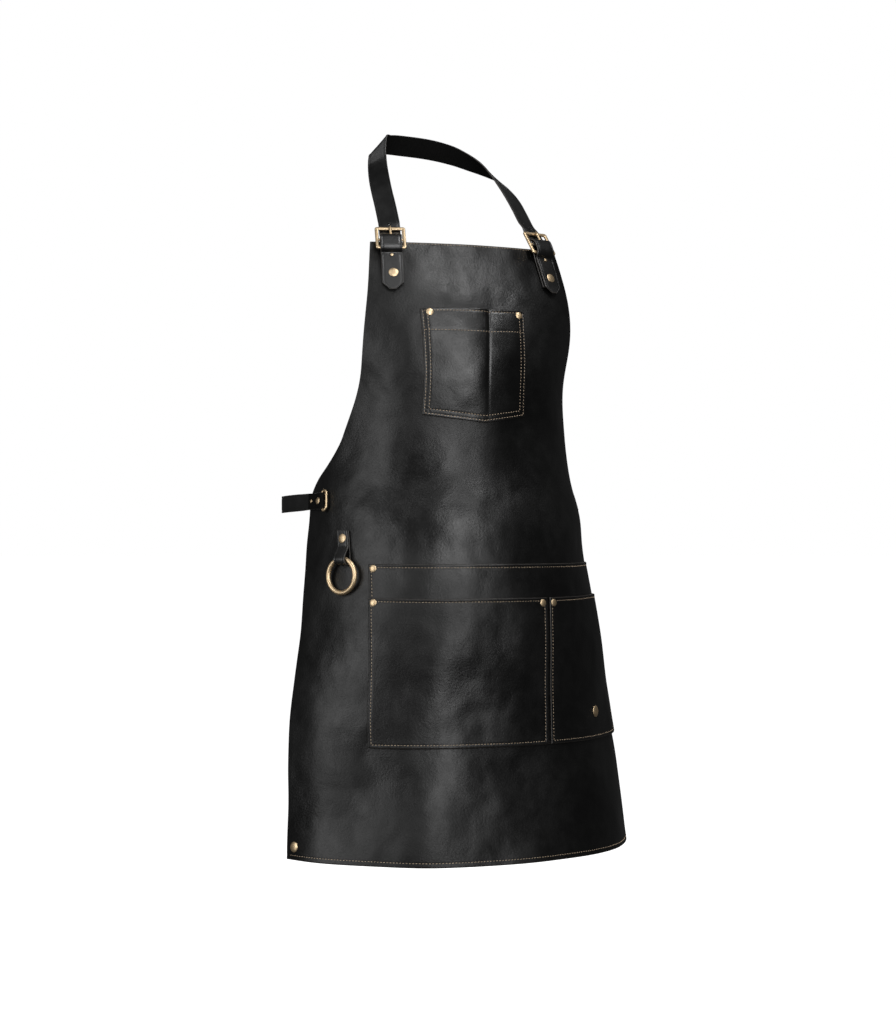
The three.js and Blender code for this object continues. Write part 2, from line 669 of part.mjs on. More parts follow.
const apron = new THREE.Group();
for (const [name, { geometry, finish }] of pieces) {
  const tools = holes.get(name);
  const material = new THREE.MeshStandardMaterial(finish);
  const mesh = new THREE.Mesh(tools ? cut(geometry, tools) : geometry, material);
  mesh.name = name;
  apron.add(mesh);
}
apron.position.set(0, -neckSeat.y, -neckSeat.z);
export default apron;
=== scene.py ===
import math

import bmesh
import bpy
import numpy as np
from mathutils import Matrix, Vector


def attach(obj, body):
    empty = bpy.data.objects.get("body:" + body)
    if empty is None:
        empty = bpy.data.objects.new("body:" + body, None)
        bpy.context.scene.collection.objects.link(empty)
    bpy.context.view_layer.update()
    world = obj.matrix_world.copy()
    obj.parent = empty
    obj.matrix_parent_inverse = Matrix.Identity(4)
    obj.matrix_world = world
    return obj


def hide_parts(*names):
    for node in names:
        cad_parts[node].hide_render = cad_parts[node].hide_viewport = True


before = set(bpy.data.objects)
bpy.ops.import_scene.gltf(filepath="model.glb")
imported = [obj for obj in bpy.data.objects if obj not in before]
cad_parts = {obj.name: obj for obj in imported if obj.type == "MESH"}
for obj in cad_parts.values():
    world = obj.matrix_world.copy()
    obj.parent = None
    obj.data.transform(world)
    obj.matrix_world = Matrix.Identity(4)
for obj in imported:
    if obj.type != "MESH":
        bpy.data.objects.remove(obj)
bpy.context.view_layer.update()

# Sizes below are millimetres: x to the right seen from the front, y to the back, z up from the hem
mm = 0.001
neckSeat = np.array([0.0, 128.4, 974.6])    # where the neck strap hangs, the frame's origin


def toFrame(points):
    # millimetres from the hem become metres from the neck seat
    return (np.asarray(points, float) - neckSeat) * mm


def unit(vectors):
    return vectors / np.linalg.norm(vectors, axis=-1, keepdims=True)


class Signal:
    # one node output; sums, differences and products of it add Math nodes to the same tree

    def __init__(self, tree, output):
        self.tree = tree
        self.output = output

    def feed(self, socket, value):
        if isinstance(value, Signal):
            self.tree.links.new(value.output, socket)
        else:
            socket.default_value = value

    def node(self, kind, settings, inputs, out=0):
        made = self.tree.nodes.new(kind)
        for key, value in settings.items():
            setattr(made, key, value)
        for key, value in inputs.items():
            self.feed(made.inputs[key], value)
        return Signal(self.tree, made.outputs[out])

    def math(self, operation, first, second=0.0):
        return self.node("ShaderNodeMath", {"operation": operation}, {0: first, 1: second})

    def __add__(self, other):
        return self.math("ADD", self, other)

    def __radd__(self, other):
        return self.math("ADD", other, self)

    def __sub__(self, other):
        return self.math("SUBTRACT", self, other)

    def __rsub__(self, other):
        return self.math("SUBTRACT", other, self)

    def __mul__(self, other):
        return self.math("MULTIPLY", self, other)

    def __rmul__(self, other):
        return self.math("MULTIPLY", other, self)

    def ramp(self, low, high):
        # 0 below low, 1 above high, smooth between
        return self.node(
            "ShaderNodeMapRange",
            {"interpolation_type": "SMOOTHSTEP"},
            {"Value": self, "From Min": low, "From Max": high},
        )

    def mix(self, first, second):
        # colour first where this is 0, second where it is 1
        return self.node("ShaderNodeMix", {"data_type": "RGBA"}, {0: self, 6: first, 7: second}, 2)

    def noise(self, scale, detail=2.0, distortion=0.0):
        return self.node(
            "ShaderNodeTexNoise", {},
            {"Vector": self, "Scale": scale, "Detail": detail, "Distortion": distortion},
        )

    def cells(self, scale):
        # 0 in the middle of each cell, rising to its border
        return self.node("ShaderNodeTexVoronoi", {"feature": "F1"}, {"Vector": self, "Scale": scale})

    def ridge(self):
        # a line of 1 wherever the noise passes its middle
        return 1.0 - self.math("ABSOLUTE", self * 2.0 - 1.0)

    def stretched(self, x, y, z):
        return self.node("ShaderNodeVectorMath", {"operation": "MULTIPLY"}, {0: self, 1: (x, y, z)})

    def moved(self, step):
        return self.node("ShaderNodeVectorMath", {"operation": "ADD"}, {0: self, 1: step})

    def shaken(self, amount, scale):
        # the same place, pushed about by noise
        push = self.node("ShaderNodeTexNoise", {}, {"Vector": self, "Scale": scale, "Detail": 2.0}, 1)
        push = push.moved((-0.5, -0.5, -0.5)).stretched(amount, amount, amount)
        return self.moved(push)

    def bumped(self):
        # this is a height in metres
        return self.node("ShaderNodeBump", {}, {"Height": self, "Distance": 1.0, "Strength": 1.0})

    def attribute(self, name):
        return self.node("ShaderNodeAttribute", {"attribute_name": name}, {}, 2)


def startMaterial(name):
    # a new material; gives it, its shader, and the object's own coordinates
    made = bpy.data.materials.new(name)
    made.use_nodes = True
    tree = made.node_tree
    shader = tree.nodes["Principled BSDF"]
    place = tree.nodes.new("ShaderNodeTexCoord")
    return made, shader, Signal(tree, place.outputs["Object"])


blackLeather = {
    "black": (0.0010, 0.0010, 0.0010, 1.0),
    "worn": (0.0028, 0.0028, 0.0027, 1.0),
    # paler cut edge: partly the leather's own edge tone, partly a painted highlight for light on the rounded
    # rim
    "edge": (0.045, 0.040, 0.036, 1.0),
    "flesh": (0.050, 0.046, 0.042, 1.0),
    "roughness": 0.43,
    "shine": 0.45,           # specular level
    "mottle": 0.16,          # how far the cloudy wear dulls the surface
    "cloudy": 0.42,          # how far the broad unevenness dulls it
    "lumpsAt": (1.48, 0.84, 2.12),
    # heights and depths in millimetres
    "grain": 0.055,          # pebble grain
    "patchy": 0.24,          # fine unevenness, a few millimetres across
    "wrinkle": 0.03,         # handling wrinkles
    "buckled": 2.4,          # thumb-sized unevenness
    "lump": 12.0,            # broad unevenness of the hide
    "nap": 0.2,              # fibres of the flesh side
}
strapLeather = {
    **blackLeather, "flesh": (0.0026, 0.0025, 0.0024, 1.0), "roughness": 0.46, "shine": 0.75,
    "grain": 0.03, "patchy": 0.08, "wrinkle": 0.02, "buckled": 0.2, "lump": 0.8,
}
chestLeather = {
    **blackLeather, "roughness": 0.36, "shine": 0.58, "patchy": 0.2, "wrinkle": 0.025, "lump": 3.0,
}
# features in a metre, detail, distortion
hideNoise = {
    "lumps": (9.0, 1.5, 0.0),
    "buckled": (26.0, 1.0, 0.0),
    "cloud": (55.0, 5.0, 0.3),
    "patches": (330.0, 2.0, 0.2),
    "wrinkled": (10.0, 2.0, 0.0),
    "wrinkles": (34.0, 4.0, 0.3),
    "fineWrinkles": (90.0, 3.0, 0.2),
    "fibre": (520.0, 5.0, 0.8),
    "pebbles": 820.0,
}


def makeLeather(name, finish):
    # black grained hide: pebbles, level wrinkles in patches, soft lumps; a paler cut edge, partly its own
    # edge tone and partly a painted highlight of the lit rim, a fibrous inside
    made, shader, place = startMaterial(name)
    edge = place.attribute("edge")
    flesh = place.attribute("flesh")
    lumps = place.moved(finish["lumpsAt"]).noise(*hideNoise["lumps"])
    buckled = place.noise(*hideNoise["buckled"])
    cloud = place.noise(*hideNoise["cloud"])
    patches = place.noise(*hideNoise["patches"])
    level = place.shaken(0.010, 40.0).stretched(1.0, 1.0, 3.4)
    wrinkled = place.noise(*hideNoise["wrinkled"]).ramp(0.42, 0.64)         # wrinkles gather in patches
    wrinkles = level.noise(*hideNoise["wrinkles"]).ridge().ramp(0.78, 1.0)
    fineWrinkles = level.noise(*hideNoise["fineWrinkles"]).ridge().ramp(0.80, 1.0)
    pebble = place.shaken(0.0007, 700.0).cells(hideNoise["pebbles"])
    fibre = place.stretched(1.0, 1.0, 0.35).noise(*hideNoise["fibre"])

    worn = (lumps * 0.4 + cloud * 0.6).ramp(0.36, 0.70)
    face = worn.mix(finish["black"], finish["worn"])
    paler = tuple(1.8 * c for c in finish["flesh"][:3]) + (1.0,)
    inside = fibre.ramp(0.3, 0.75).mix(finish["flesh"], paler)
    # edges painted paler: partly their own cut-edge tone, partly painted highlight where light catches the
    # rounded rim
    place.feed(shader.inputs["Base Color"], edge.mix(face, finish["edge"]))

    rough = finish["roughness"] + (cloud - 0.5) * finish["mottle"] + (patches - 0.5) * 0.12
    rough = rough + (lumps - 0.5) * finish["cloudy"]
    place.feed(shader.inputs["Roughness"], rough + edge * 0.10)

    height = patches * finish["patchy"] - (wrinkles * wrinkled + fineWrinkles * 0.3) * finish["wrinkle"]
    height = height - pebble * finish["grain"] + buckled * finish["buckled"] + lumps * finish["lump"]
    place.feed(shader.inputs["Normal"], (height * mm).bumped())
    shader.inputs["IOR"].default_value = 1.5
    shader.inputs["Specular IOR Level"].default_value = finish["shine"]

    suede = place.node("ShaderNodeBsdfPrincipled", {}, {
        "Base Color": inside,
        "Roughness": 0.9,
        "Specular IOR Level": 0.10,
        "Normal": (fibre * finish["nap"] * mm).bumped(),
    })
    grained = Signal(place.tree, shader.outputs[0])
    both = place.node("ShaderNodeMixShader", {}, {0: flesh, 1: grained, 2: suede})
    place.feed(place.tree.nodes["Material Output"].inputs["Surface"], both)
    return made


agedBrass = {
    "gold": (0.78, 0.60, 0.38, 1.0),
    "dull": (0.54, 0.38, 0.21, 1.0),
    "roughness": 0.44,
}


def makeBrass(name, finish):
    # warm plated brass: brushed faintly, duller in cloudy patches
    made, shader, place = startMaterial(name)
    cloud = place.noise(160.0, 4.0, 0.4)
    brushed = place.stretched(1.0, 1.0, 0.3).noise(1500.0, 3.0)
    tarnish = cloud.ramp(0.48, 0.80)
    place.feed(shader.inputs["Base Color"], (tarnish * 0.5).mix(finish["gold"], finish["dull"]))
    place.feed(shader.inputs["Roughness"], finish["roughness"] + tarnish * 0.14 + (brushed - 0.5) * 0.10)
    place.feed(shader.inputs["Normal"], ((brushed * 0.0012 + cloud * 0.004) * mm).bumped())
    shader.inputs["Metallic"].default_value = 1.0
    return made


waxedThread = {
    "light": (0.52, 0.41, 0.29, 1.0),
    "dark": (0.27, 0.20, 0.14, 1.0),
}


def makeThread(name, finish):
    # twisted, waxed thread: paler and darker along its length, fine twist lines
    made, shader, place = startMaterial(name)
    shade = place.noise(320.0, 3.0)
    twist = place.noise(3200.0, 2.0)
    tone = (shade * 0.7 + twist * 0.3).ramp(0.3, 0.7)
    place.feed(shader.inputs["Base Color"], tone.mix(finish["dark"], finish["light"]))
    place.feed(shader.inputs["Roughness"], 0.55 + shade * 0.25)
    place.feed(shader.inputs["Normal"], (twist * 0.1 * mm).bumped())
    return made


apronHide = makeLeather("black_apron_hide", blackLeather)
strapHide = makeLeather("black_strap_hide", strapLeather)
chestHide = makeLeather("black_chest_pocket_hide", chestLeather)
brass = makeBrass("aged_brass", agedBrass)
thread = makeThread("waxed_thread", waxedThread)
print("materials:", len(bpy.data.materials))


def putPiece(name, points, faces, material, stands, marks=None, body="apron"):
    # a mesh from an array of points in millimetres and an array of faces, riding on its body
    mesh = bpy.data.meshes.new(name)
    mesh.from_pydata(toFrame(points), [], faces)
    mesh.validate()
    for key, values in (marks or {}).items():
        mark = mesh.attributes.new(key, "FLOAT", "POINT")
        mark.data.foreach_set("value", np.asarray(values, np.float32))
    mesh.polygons.foreach_set("use_smooth", np.full(len(mesh.polygons), True))
    mesh.materials.append(material)
    work = bmesh.new()
    work.from_mesh(mesh)
    bmesh.ops.recalc_face_normals(work, faces=work.faces)
    work.to_mesh(mesh)
    work.free()
    mesh.update()
    piece = bpy.data.objects.new(name, mesh)
    bpy.context.scene.collection.objects.link(piece)
    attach(piece, body)
    if stands:
        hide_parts(*stands)
    return piece


def curveThrough(stops, values, at):
    # cubic pieces through values at stops, each slope taken from the two neighbouring stops
    stops = np.asarray(stops, float)
    values = np.asarray(values, float)
    order = np.arange(len(stops))
    before = np.maximum(order - 1, 0)
    after = np.minimum(order + 1, len(stops) - 1)
    lift = (slice(None),) + (None,) * (values.ndim - 1)
    slopes = (values[after] - values[before]) / (stops[after] - stops[before])[lift]
    at = np.asarray(at, float)
    k = np.clip(np.searchsorted(stops, at, side="right") - 1, 0, len(stops) - 2)
    spread = (...,) + (None,) * (values.ndim - 1)
    span = (stops[k + 1] - stops[k])[spread]
    t = (at - stops[k])[spread] / span
    blend = 3 * t**2 - 2 * t**3
    rise = span * ((t**3 - 2 * t**2 + t) * slopes[k] + (t**3 - t**2) * slopes[k + 1])
    return values[k] * (1 - blend) + values[k + 1] * blend + rise


def closeAtEnds(width, inset, fine, reach, coarse):
    # distances across a width: close together near both ends, wider apart between
    ends = np.arange(inset, reach, fine)
    middle = np.linspace(reach, width - reach, max(2, round((width - 2 * reach) / coarse)) + 1)
    return np.concatenate([ends, middle, width - ends[::-1]])


# The drape: how the hide bows, and its folds
hide = {
    # height, radius of the bow, how far forward the front stands
    "bow": np.array([
        (0, 278, -165), (150, 263, -138), (300, 221, -136), (430, 198, -120),
        (560, 181, -88), (650, 186, -95), (740, 290, -73), (820, 430, -32),
    ], float),
    # height, half width along the hide
    "outline": np.array([
        (0, 315), (100, 304), (300, 304), (400, 298), (455, 292), (478, 287), (500, 267),
        (520, 240), (540, 220), (560, 206), (600, 190), (660, 175), (740, 156), (820, 138),
    ], float),
    # round, height, length, width, turn in degrees, rise
    "folds": np.array([
        (-190, 452, 95, 34, -12, 4.0), (190, 450, 95, 34, 14, 4.0), (10, 455, 120, 36, 0, 3.0),
        (-20, 520, 130, 34, 4, -3.0), (-120, 610, 110, 36, 78, 3.0), (100, 640, 100, 38, -70, 3.0),
        (-245, 160, 170, 42, 84, 4.5), (-110, 50, 100, 50, 70, 3.5), (60, 40, 100, 48, -75, -3.0),
        (190, 60, 120, 50, -80, 4.0),
    ], float),
    # shallow dents from wear, the same columns
    "dents": np.array([
        (-100, 40, 150, 60, 86, 5.0), (-155, 190, 40, 45, 80, 4.5), (-30, 195, 60, 45, 95, -3.0),
        (-45, 440, 50, 45, 0, 3.5), (-60, 365, 60, 30, 0, 2.5), (40, 90, 90, 50, 60, -3.0),
        (-225, 285, 60, 40, 70, -3.0), (-95, 262, 32, 26, 60, 2.5), (-78, 240, 75, 30, 64, 4.0),
    ], float),
    "bibTop": 820.0,
    "thick": 2.0,
    "edgeRound": 0.6,
    # handling ripples: how many waves, longest and shortest in millimetres, rise of each
    "ripples": 26, "longest": 210.0, "shortest": 70.0, "rippleRise": 0.32, "rippleSeed": 5,
    # places where the hide is held still: round, height, reach
    "still": np.array([(-211, 395, 45), (-260, 471, 40), (111, 815, 45), (-111, 815, 45)], float),
}
rippleDice = np.random.default_rng(hide["rippleSeed"])
rippleLength = rippleDice.uniform(hide["shortest"], hide["longest"], hide["ripples"])
rippleTurn = rippleDice.uniform(0, math.pi, hide["ripples"])
rippleStart = rippleDice.uniform(0, 2 * math.pi, hide["ripples"])


def foldAt(s, z):
    # broad folds are bell curves longer one way than the other; ripples are waves at many angles
    s, z = np.broadcast_arrays(np.asarray(s, float)[..., None], np.asarray(z, float)[..., None])
    fs, fz, length, width, turn, rise = np.concatenate([hide["folds"], hide["dents"]]).T
    turn = np.radians(turn)
    run = ((s - fs) * np.cos(turn) + (z - fz) * np.sin(turn)) / length
    side = ((z - fz) * np.cos(turn) - (s - fs) * np.sin(turn)) / width
    folds = (rise * np.exp(-run**2 - side**2)).sum(-1)
    phase = (s * np.cos(rippleTurn) + z * np.sin(rippleTurn)) * 2 * np.pi / rippleLength + rippleStart
    size = hide["rippleRise"] * rippleLength / hide["longest"]
    stillS, stillZ, reach = hide["still"].T
    held = np.exp(-((s[..., :1] - stillS) ** 2 + (z[..., :1] - stillZ) ** 2) / reach**2)
    return folds + (size * np.sin(phase)).sum(-1) * (1 - held).prod(-1)


def skinAt(s, z):
    # a point on the hide's face: s round the bow from the middle of the front, z up
    s, z = np.broadcast_arrays(np.asarray(s, float), np.asarray(z, float))
    bow = curveThrough(hide["bow"][:, 0], hide["bow"][:, 1:], z)
    radius, front = bow[..., 0], bow[..., 1]
    reach = radius + foldAt(s, z)
    return np.stack([reach * np.sin(s / radius), front + radius - reach * np.cos(s / radius), z], -1)


def roundAt(s, z):
    # the way round the hide, from two places a millimetre apart
    return unit(skinAt(np.add(s, 0.5), z) - skinAt(np.subtract(s, 0.5), z))


def upAt(s, z):
    # the way up the hide, the same way
    return unit(skinAt(s, np.add(z, 0.5)) - skinAt(s, np.subtract(z, 0.5)))


def outwardAt(s, z):
    # square to the hide: the way round crossed with the way up
    return unit(np.cross(roundAt(s, z), upAt(s, z)))


def drape(s, z, lift):
    # the hide's face, stood off along its outward direction by lift
    return skinAt(s, z) + outwardAt(s, z) * np.asarray(lift, float)[..., None]


def cutSheet(name, p, q, cut, liftAt, thick, material, stands):
    # a closed sheet: cut(p, q) gives its place on the hide, liftAt(p, q) its outer face's height, the inner
    # face lies thick below; the rim is one row pushed out to the true edge, so that the cut edge is rounded
    q2, p2 = np.meshgrid(q, p, indexing="ij")
    s, z = cut(p2, q2)
    lift = liftAt(p2, q2)
    rimP, rimQ = p.copy(), q.copy()
    rimP[[0, -1]] = 0.0, 1.0
    rimQ[[0, -1]] = 0.0, 1.0
    q3, p3 = np.meshgrid(rimQ, rimP, indexing="ij")
    sRim, zRim = cut(p3, q3)
    rows, columns = s.shape
    outer = drape(s, z, lift).reshape(-1, 3)
    inner = drape(s, z, lift - thick).reshape(-1, 3)
    at = np.arange(rows * columns).reshape(rows, columns)
    border = np.concatenate([at[0, :-1], at[:-1, -1], at[-1, :0:-1], at[:0:-1, 0]])
    rim = drape(sRim, zRim, liftAt(p3, q3) - thick / 2).reshape(-1, 3)[border]
    count = rows * columns
    quads = np.stack([at[:-1, :-1], at[:-1, 1:], at[1:, 1:], at[1:, :-1]], -1).reshape(-1, 4)
    loop = np.arange(len(border)) + 2 * count
    onward = np.roll(border, -1)
    loopOn = np.roll(loop, -1)
    faces = np.concatenate([
        quads,
        quads[:, ::-1] + count,
        np.stack([border, loop, loopOn, onward], -1),
        np.stack([loop, border + count, onward + count, loopOn], -1),
    ])
    # marks the edges for the paler edge colour, which is partly edge tone and partly painted highlight
    edge = np.zeros(count)
    edge[border] = 0.5
    marks = {
        "edge": np.concatenate([edge, edge, np.ones(len(border))]),
        "flesh": np.concatenate([np.zeros(count), np.ones(count), np.full(len(border), 0.5)]),
    }
    points = np.concatenate([outer, inner, rim])
    return putPiece(name, points, faces.tolist(), material, stands, marks)


def halfWidth(z):
    # half the cut width of the hide at a height
    return curveThrough(hide["outline"][:, 0], hide["outline"][:, 1], z)


# Body of the apron: hem and bib top are turned rows of stitching, the armholes are plain cut edges
apronBody = {"hemRow": 6.0, "topRow": 2.4, "rowDip": 0.25, "rowWide": 1.4, "hemEnd": 308.0, "topEnd": 133.0}
usualWidth = 600.0
bodyAcross = closeAtEnds(usualWidth, hide["edgeRound"], 1.6, 4.0, 3.5) / usualWidth
bodyUp = closeAtEnds(hide["bibTop"], hide["edgeRound"], 1.1, 9.0, 3.6) / hide["bibTop"]


def bodyCut(p, q):
    # across the cut width at each height, and up from hem to bib top
    z = q * hide["bibTop"]
    return (2 * p - 1) * halfWidth(z), z


def bodyLift(p, q):
    # the face dips in a narrow bell along the hem's stitching and along the bib's
    z = q * hide["bibTop"]
    hem = np.exp(-(((z - apronBody["hemRow"]) / apronBody["rowWide"]) ** 2))
    top = np.exp(-(((hide["bibTop"] - z - apronBody["topRow"]) / apronBody["rowWide"]) ** 2))
    return -apronBody["rowDip"] * (hem + top)


body = cutSheet("apron_hide", bodyAcross, bodyUp, bodyCut, bodyLift, hide["thick"], apronHide,
                ["apron_body"])
bodyHeights = np.linspace(0, hide["bibTop"], 200)
bodyLength = np.linalg.norm(np.diff(skinAt(0 * bodyHeights, bodyHeights), axis=0), axis=1).sum()
bodyArea = np.trapz(2 * halfWidth(bodyHeights), bodyHeights) * bodyLength / hide["bibTop"]
print("body of the apron:", len(body.data.polygons), "faces")


# Pockets: edges round the bow and up the hide, how far the mouth stands off, rows of stitching from the
# edge, and how closely the mesh is spaced: near the edges, how far in, and between
pockets = {
    "thick": 1.8,
    "sewn": 0.12,            # how close the sewn edges lie
    "edgeRound": 0.5,
    "rowDip": 0.40,
    "rowWide": 1.3,
    "bead": 0.5,             # how far the turned border stands up between the edge and its stitching
    "chest": {
        "left": -87.0, "right": 61.0, "bottom": 586.0, "top": 727.0, "point": (-3.0, 576.0),
        "divider": [(0, 2.5), (0.5, 0.0), (1, 7.0)],      # up the pocket, round
        "bowIn": 3.5, "rows": (3.0, 9.0), "mouthRow": 3.6, "turnRow": 29.0,
        "flatSide": 8.0, "dipShare": 0.8, "mesh": (0.8, 11.0, 1.2),
        # round from the divider, how far the full pocket stands off
        "shape": [
            (-94, 0), (-86, 2.2), (-70, 3.2), (-45, 3.8), (-16, 4.2), (-6, 3.0), (-1.4, 0.9), (0, 0.3),
            (1.4, 0.9), (4, 1.4), (20, 2.2), (38, 1.9), (54, 0),
        ],
    },
    "back": {
        "left": -176.0, "right": 285.0, "bottom": 150.0, "top": 389.0, "belly": 0.0, "seat": 0.0,
        "rows": (4.6,), "mesh": (0.9, 8.0, 3.2),
    },
    "frontLeft": {
        "left": -176.0, "right": 72.0, "bottom": 150.0, "top": 344.0, "belly": 3.2, "seat": 2.1,
        "rows": (4.4,), "mesh": (0.9, 8.0, 2.6),
    },
    "frontRight": {
        "left": 77.0, "right": 285.0, "bottom": 150.0, "top": 344.0, "belly": 2.4, "seat": 2.1,
        "rows": (4.4,), "mesh": (0.9, 8.0, 2.6),
    },
}
chestBox = pockets["chest"]
backBox, leftBox, rightBox = pockets["back"], pockets["frontLeft"], pockets["frontRight"]


def rowDips(distance, rows):
    # stitching pulls the leather down in a narrow bell along each row
    dips = [np.exp(-(((distance - row) / pockets["rowWide"]) ** 2)) for row in rows]
    return pockets["rowDip"] * np.max(dips, axis=0)


def borderBead(distance, row):
    # the turned border between an edge and its stitching is half a sine wave high
    return pockets["bead"] * np.sin(np.pi * np.clip(distance / row, 0, 1))


def chestBottom(s):
    # two straight edges that meet in a low point
    pointS, pointZ = chestBox["point"]
    side = np.where(s < pointS, chestBox["left"], chestBox["right"])
    return pointZ + (chestBox["bottom"] - pointZ) * (s - pointS) / (side - pointS)


def chestCut(p, q):
    # across from the left edge to the right one, which bows in by half a sine wave; up from the bottom edge
    right = chestBox["right"] - chestBox["bowIn"] * np.sin(np.pi * q)
    s = chestBox["left"] + (right - chestBox["left"]) * p
    return s, chestBottom(s) + (chestBox["top"] - chestBottom(s)) * q


def chestLift(p, q):
    # full on the left, falling into the sewn divider, standing up again beside it, flat at sides and bottom
    s, z = chestCut(p, q)
    sides = np.minimum(p, 1 - p) * (chestBox["right"] - chestBox["left"])
    low, high = z - chestBottom(s), chestBox["top"] - z
    stops, heights = np.array(chestBox["shape"], float).T
    up, divider = np.array(chestBox["divider"], float).T
    full = curveThrough(stops, heights, np.clip(s - curveThrough(up, divider, q), stops[0], stops[-1]))
    full = full * np.clip(sides / chestBox["flatSide"], 0, 1)
    dip = np.maximum(rowDips(sides, chestBox["rows"]), rowDips(low, chestBox["rows"]))
    dip = np.maximum(dip, rowDips(high, (chestBox["mouthRow"], chestBox["turnRow"])))
    bead = borderBead(np.minimum(np.minimum(sides, low), high), chestBox["mouthRow"])
    return pockets["sewn"] + pockets["thick"] + full * q**0.5 + bead - dip * chestBox["dipShare"]


def pocketCut(box):
    # a plain rectangle on the hide
    width, height = box["right"] - box["left"], box["top"] - box["bottom"]
    return lambda p, q: (box["left"] + width * p, box["bottom"] + height * q)


def pocketLift(box):
    # one soft belly, deepest at the mouth, with a dip along the row of stitching
    def liftAt(p, q):
        s, z = pocketCut(box)(p, q)
        width = box["right"] - box["left"]
        ends = np.minimum(z - box["bottom"], box["top"] - z)
        nearest = np.minimum(np.minimum(p, 1 - p) * width, ends)
        belly = box["belly"] * np.sin(np.pi * p) ** 2 * q**1.5
        face = box["seat"] + pockets["sewn"] + pockets["thick"]
        return face + belly + borderBead(nearest, box["rows"][0]) - rowDips(nearest, box["rows"])
    return liftAt


def makePocket(name, box, cut, liftAt, stands, hideUsed=apronHide):
    # a sheet cut to its box, with rows of the mesh close together at the edges
    width = box["right"] - box["left"]
    height = box["top"] - box["bottom"]
    across = closeAtEnds(width, pockets["edgeRound"], *box["mesh"]) / width
    up = closeAtEnds(height, pockets["edgeRound"], *box["mesh"]) / height
    piece = cutSheet(name, across, up, cut, liftAt, pockets["thick"], hideUsed, stands)
    width * mm
    height * mm


makePocket("chest_pocket_hide", chestBox, chestCut, chestLift, ["chest_pocket"], chestHide)
for name, box in (("pocket_back", backBox), ("pocket_left", leftBox), ("pocket_right", rightBox)):
    makePocket(f"{name}_hide", box, pocketCut(box), pocketLift(box), [name])
print("pockets made")


# Straps: a flat profile with burnished round edges and a creased line beside each edge, along a path
strapEdge = {
    "crease": 3.0, "creaseDeep": 0.28, "creaseWide": 0.7, "round": 1.0,
    "face": np.array([1.2, 2.2, 2.6, 3.0, 3.4, 3.9, 6.0, 9.5]),     # profile points, in from the edge
}
barClear = 0.3               # between a bar and the leather that turns round it


def strapSection(half, thick):
    # the profile as sides, distances in from the nearer edge and heights, from the right edge over the top
    # and back below; both edges are arcs, and each crease is a narrow bell cut into the face
    turn = np.radians([-60, -30, 0, 30, 60])
    radius = min(strapEdge["round"], thick / 2)
    edgeIn = radius - radius * np.cos(turn)
    edgeUp = (thick / 2) * np.sin(turn) / np.sin(np.radians(75))
    faceIn = strapEdge["face"][strapEdge["face"] < half - 1.0]
    bell = np.exp(-(((faceIn - strapEdge["crease"]) / strapEdge["creaseWide"]) ** 2))
    faceUp = thick / 2 - strapEdge["creaseDeep"] * bell
    right, left = np.ones(len(faceIn)), -np.ones(len(faceIn))
    none, below = 0 * faceIn, np.full(len(faceIn), -thick / 2)
    # how far round each edge arc a point lies, for the paler edge colour: partly edge tone, partly painted
    # highlight
    rounds = np.cos(turn) ** 2
    middle = [0.0]
    side = [np.ones(len(turn)), right, middle, left, -np.ones(len(turn)), left, middle, right]
    into = [edgeIn, faceIn, [half], faceIn[::-1], edgeIn[::-1], faceIn, [half], faceIn[::-1]]
    high = [edgeUp, faceUp, [thick / 2], faceUp[::-1], edgeUp[::-1], below, [-thick / 2], below]
    edge = [rounds, none, middle, none, rounds, none, middle, none]
    return tuple(np.concatenate(part) for part in (side, into, high, edge))


def strapAlong(name, stations, thick, spacing, stands):
    # stations are rows of place, across and half width; the path is a smooth curve through them and the
    # profile's own width is squeezed where the strap comes to a point
    at = np.array([row[0] for row in stations], float)
    across = unit(np.array([row[1] for row in stations], float))
    half = np.array([row[2] for row in stations], float)
    stops = np.concatenate([[0.0], np.cumsum(np.linalg.norm(np.diff(at, axis=0), axis=1))])
    counts = np.maximum(1, np.ceil(np.diff(stops) / spacing)).astype(int)
    steps = [np.linspace(a, b, n, endpoint=False) for a, b, n in zip(stops[:-1], stops[1:], counts)]
    run = np.concatenate(steps + [stops[-1:]])
    path = curveThrough(stops, at, run)
    width = np.interp(run, stops, half)
    tangent = unit(np.gradient(path, run, axis=0))
    cross = unit(curveThrough(stops, across, run))
    out = unit(np.cross(cross, tangent))
    side, into, high, edge = strapSection(np.median(half), thick)
    squeeze = (width / np.median(half))[:, None]
    offset = side * (width[:, None] - into * squeeze)
    points = path[:, None] + cross[:, None] * offset[..., None] + out[:, None] * high[:, None]
    rows, ring = offset.shape
    index = np.arange(rows * ring).reshape(rows, ring)
    onward = np.roll(index, -1, axis=1)
    quads = np.stack([index[:-1], onward[:-1], onward[1:], index[1:]], -1).reshape(-1, 4)
    ends = np.array([rows * ring, rows * ring + 1])
    capA = np.stack([onward[0], index[0], np.full(ring, ends[0])], -1)
    capB = np.stack([index[-1], onward[-1], np.full(ring, ends[1])], -1)
    allPoints = np.concatenate([points.reshape(-1, 3), path[[0, -1]]])
    # edge marks for the paler edge colour, partly edge tone and partly painted highlight; the cut ends count
    # fully
    edges = np.tile(edge, (rows, 1))
    edges[[0, -1]] = 1.0
    flesh = np.tile((high < -0.4 * thick).astype(float), (rows, 1))
    marks = {
        "edge": np.concatenate([edges.ravel(), [1.0, 1.0]]),
        "flesh": np.concatenate([flesh.ravel(), [0.0, 0.0]]),
    }
    faces = quads.tolist() + capA.tolist() + capB.tolist()
    piece = putPiece(name, allPoints, faces, strapHide, stands, marks)
    return piece


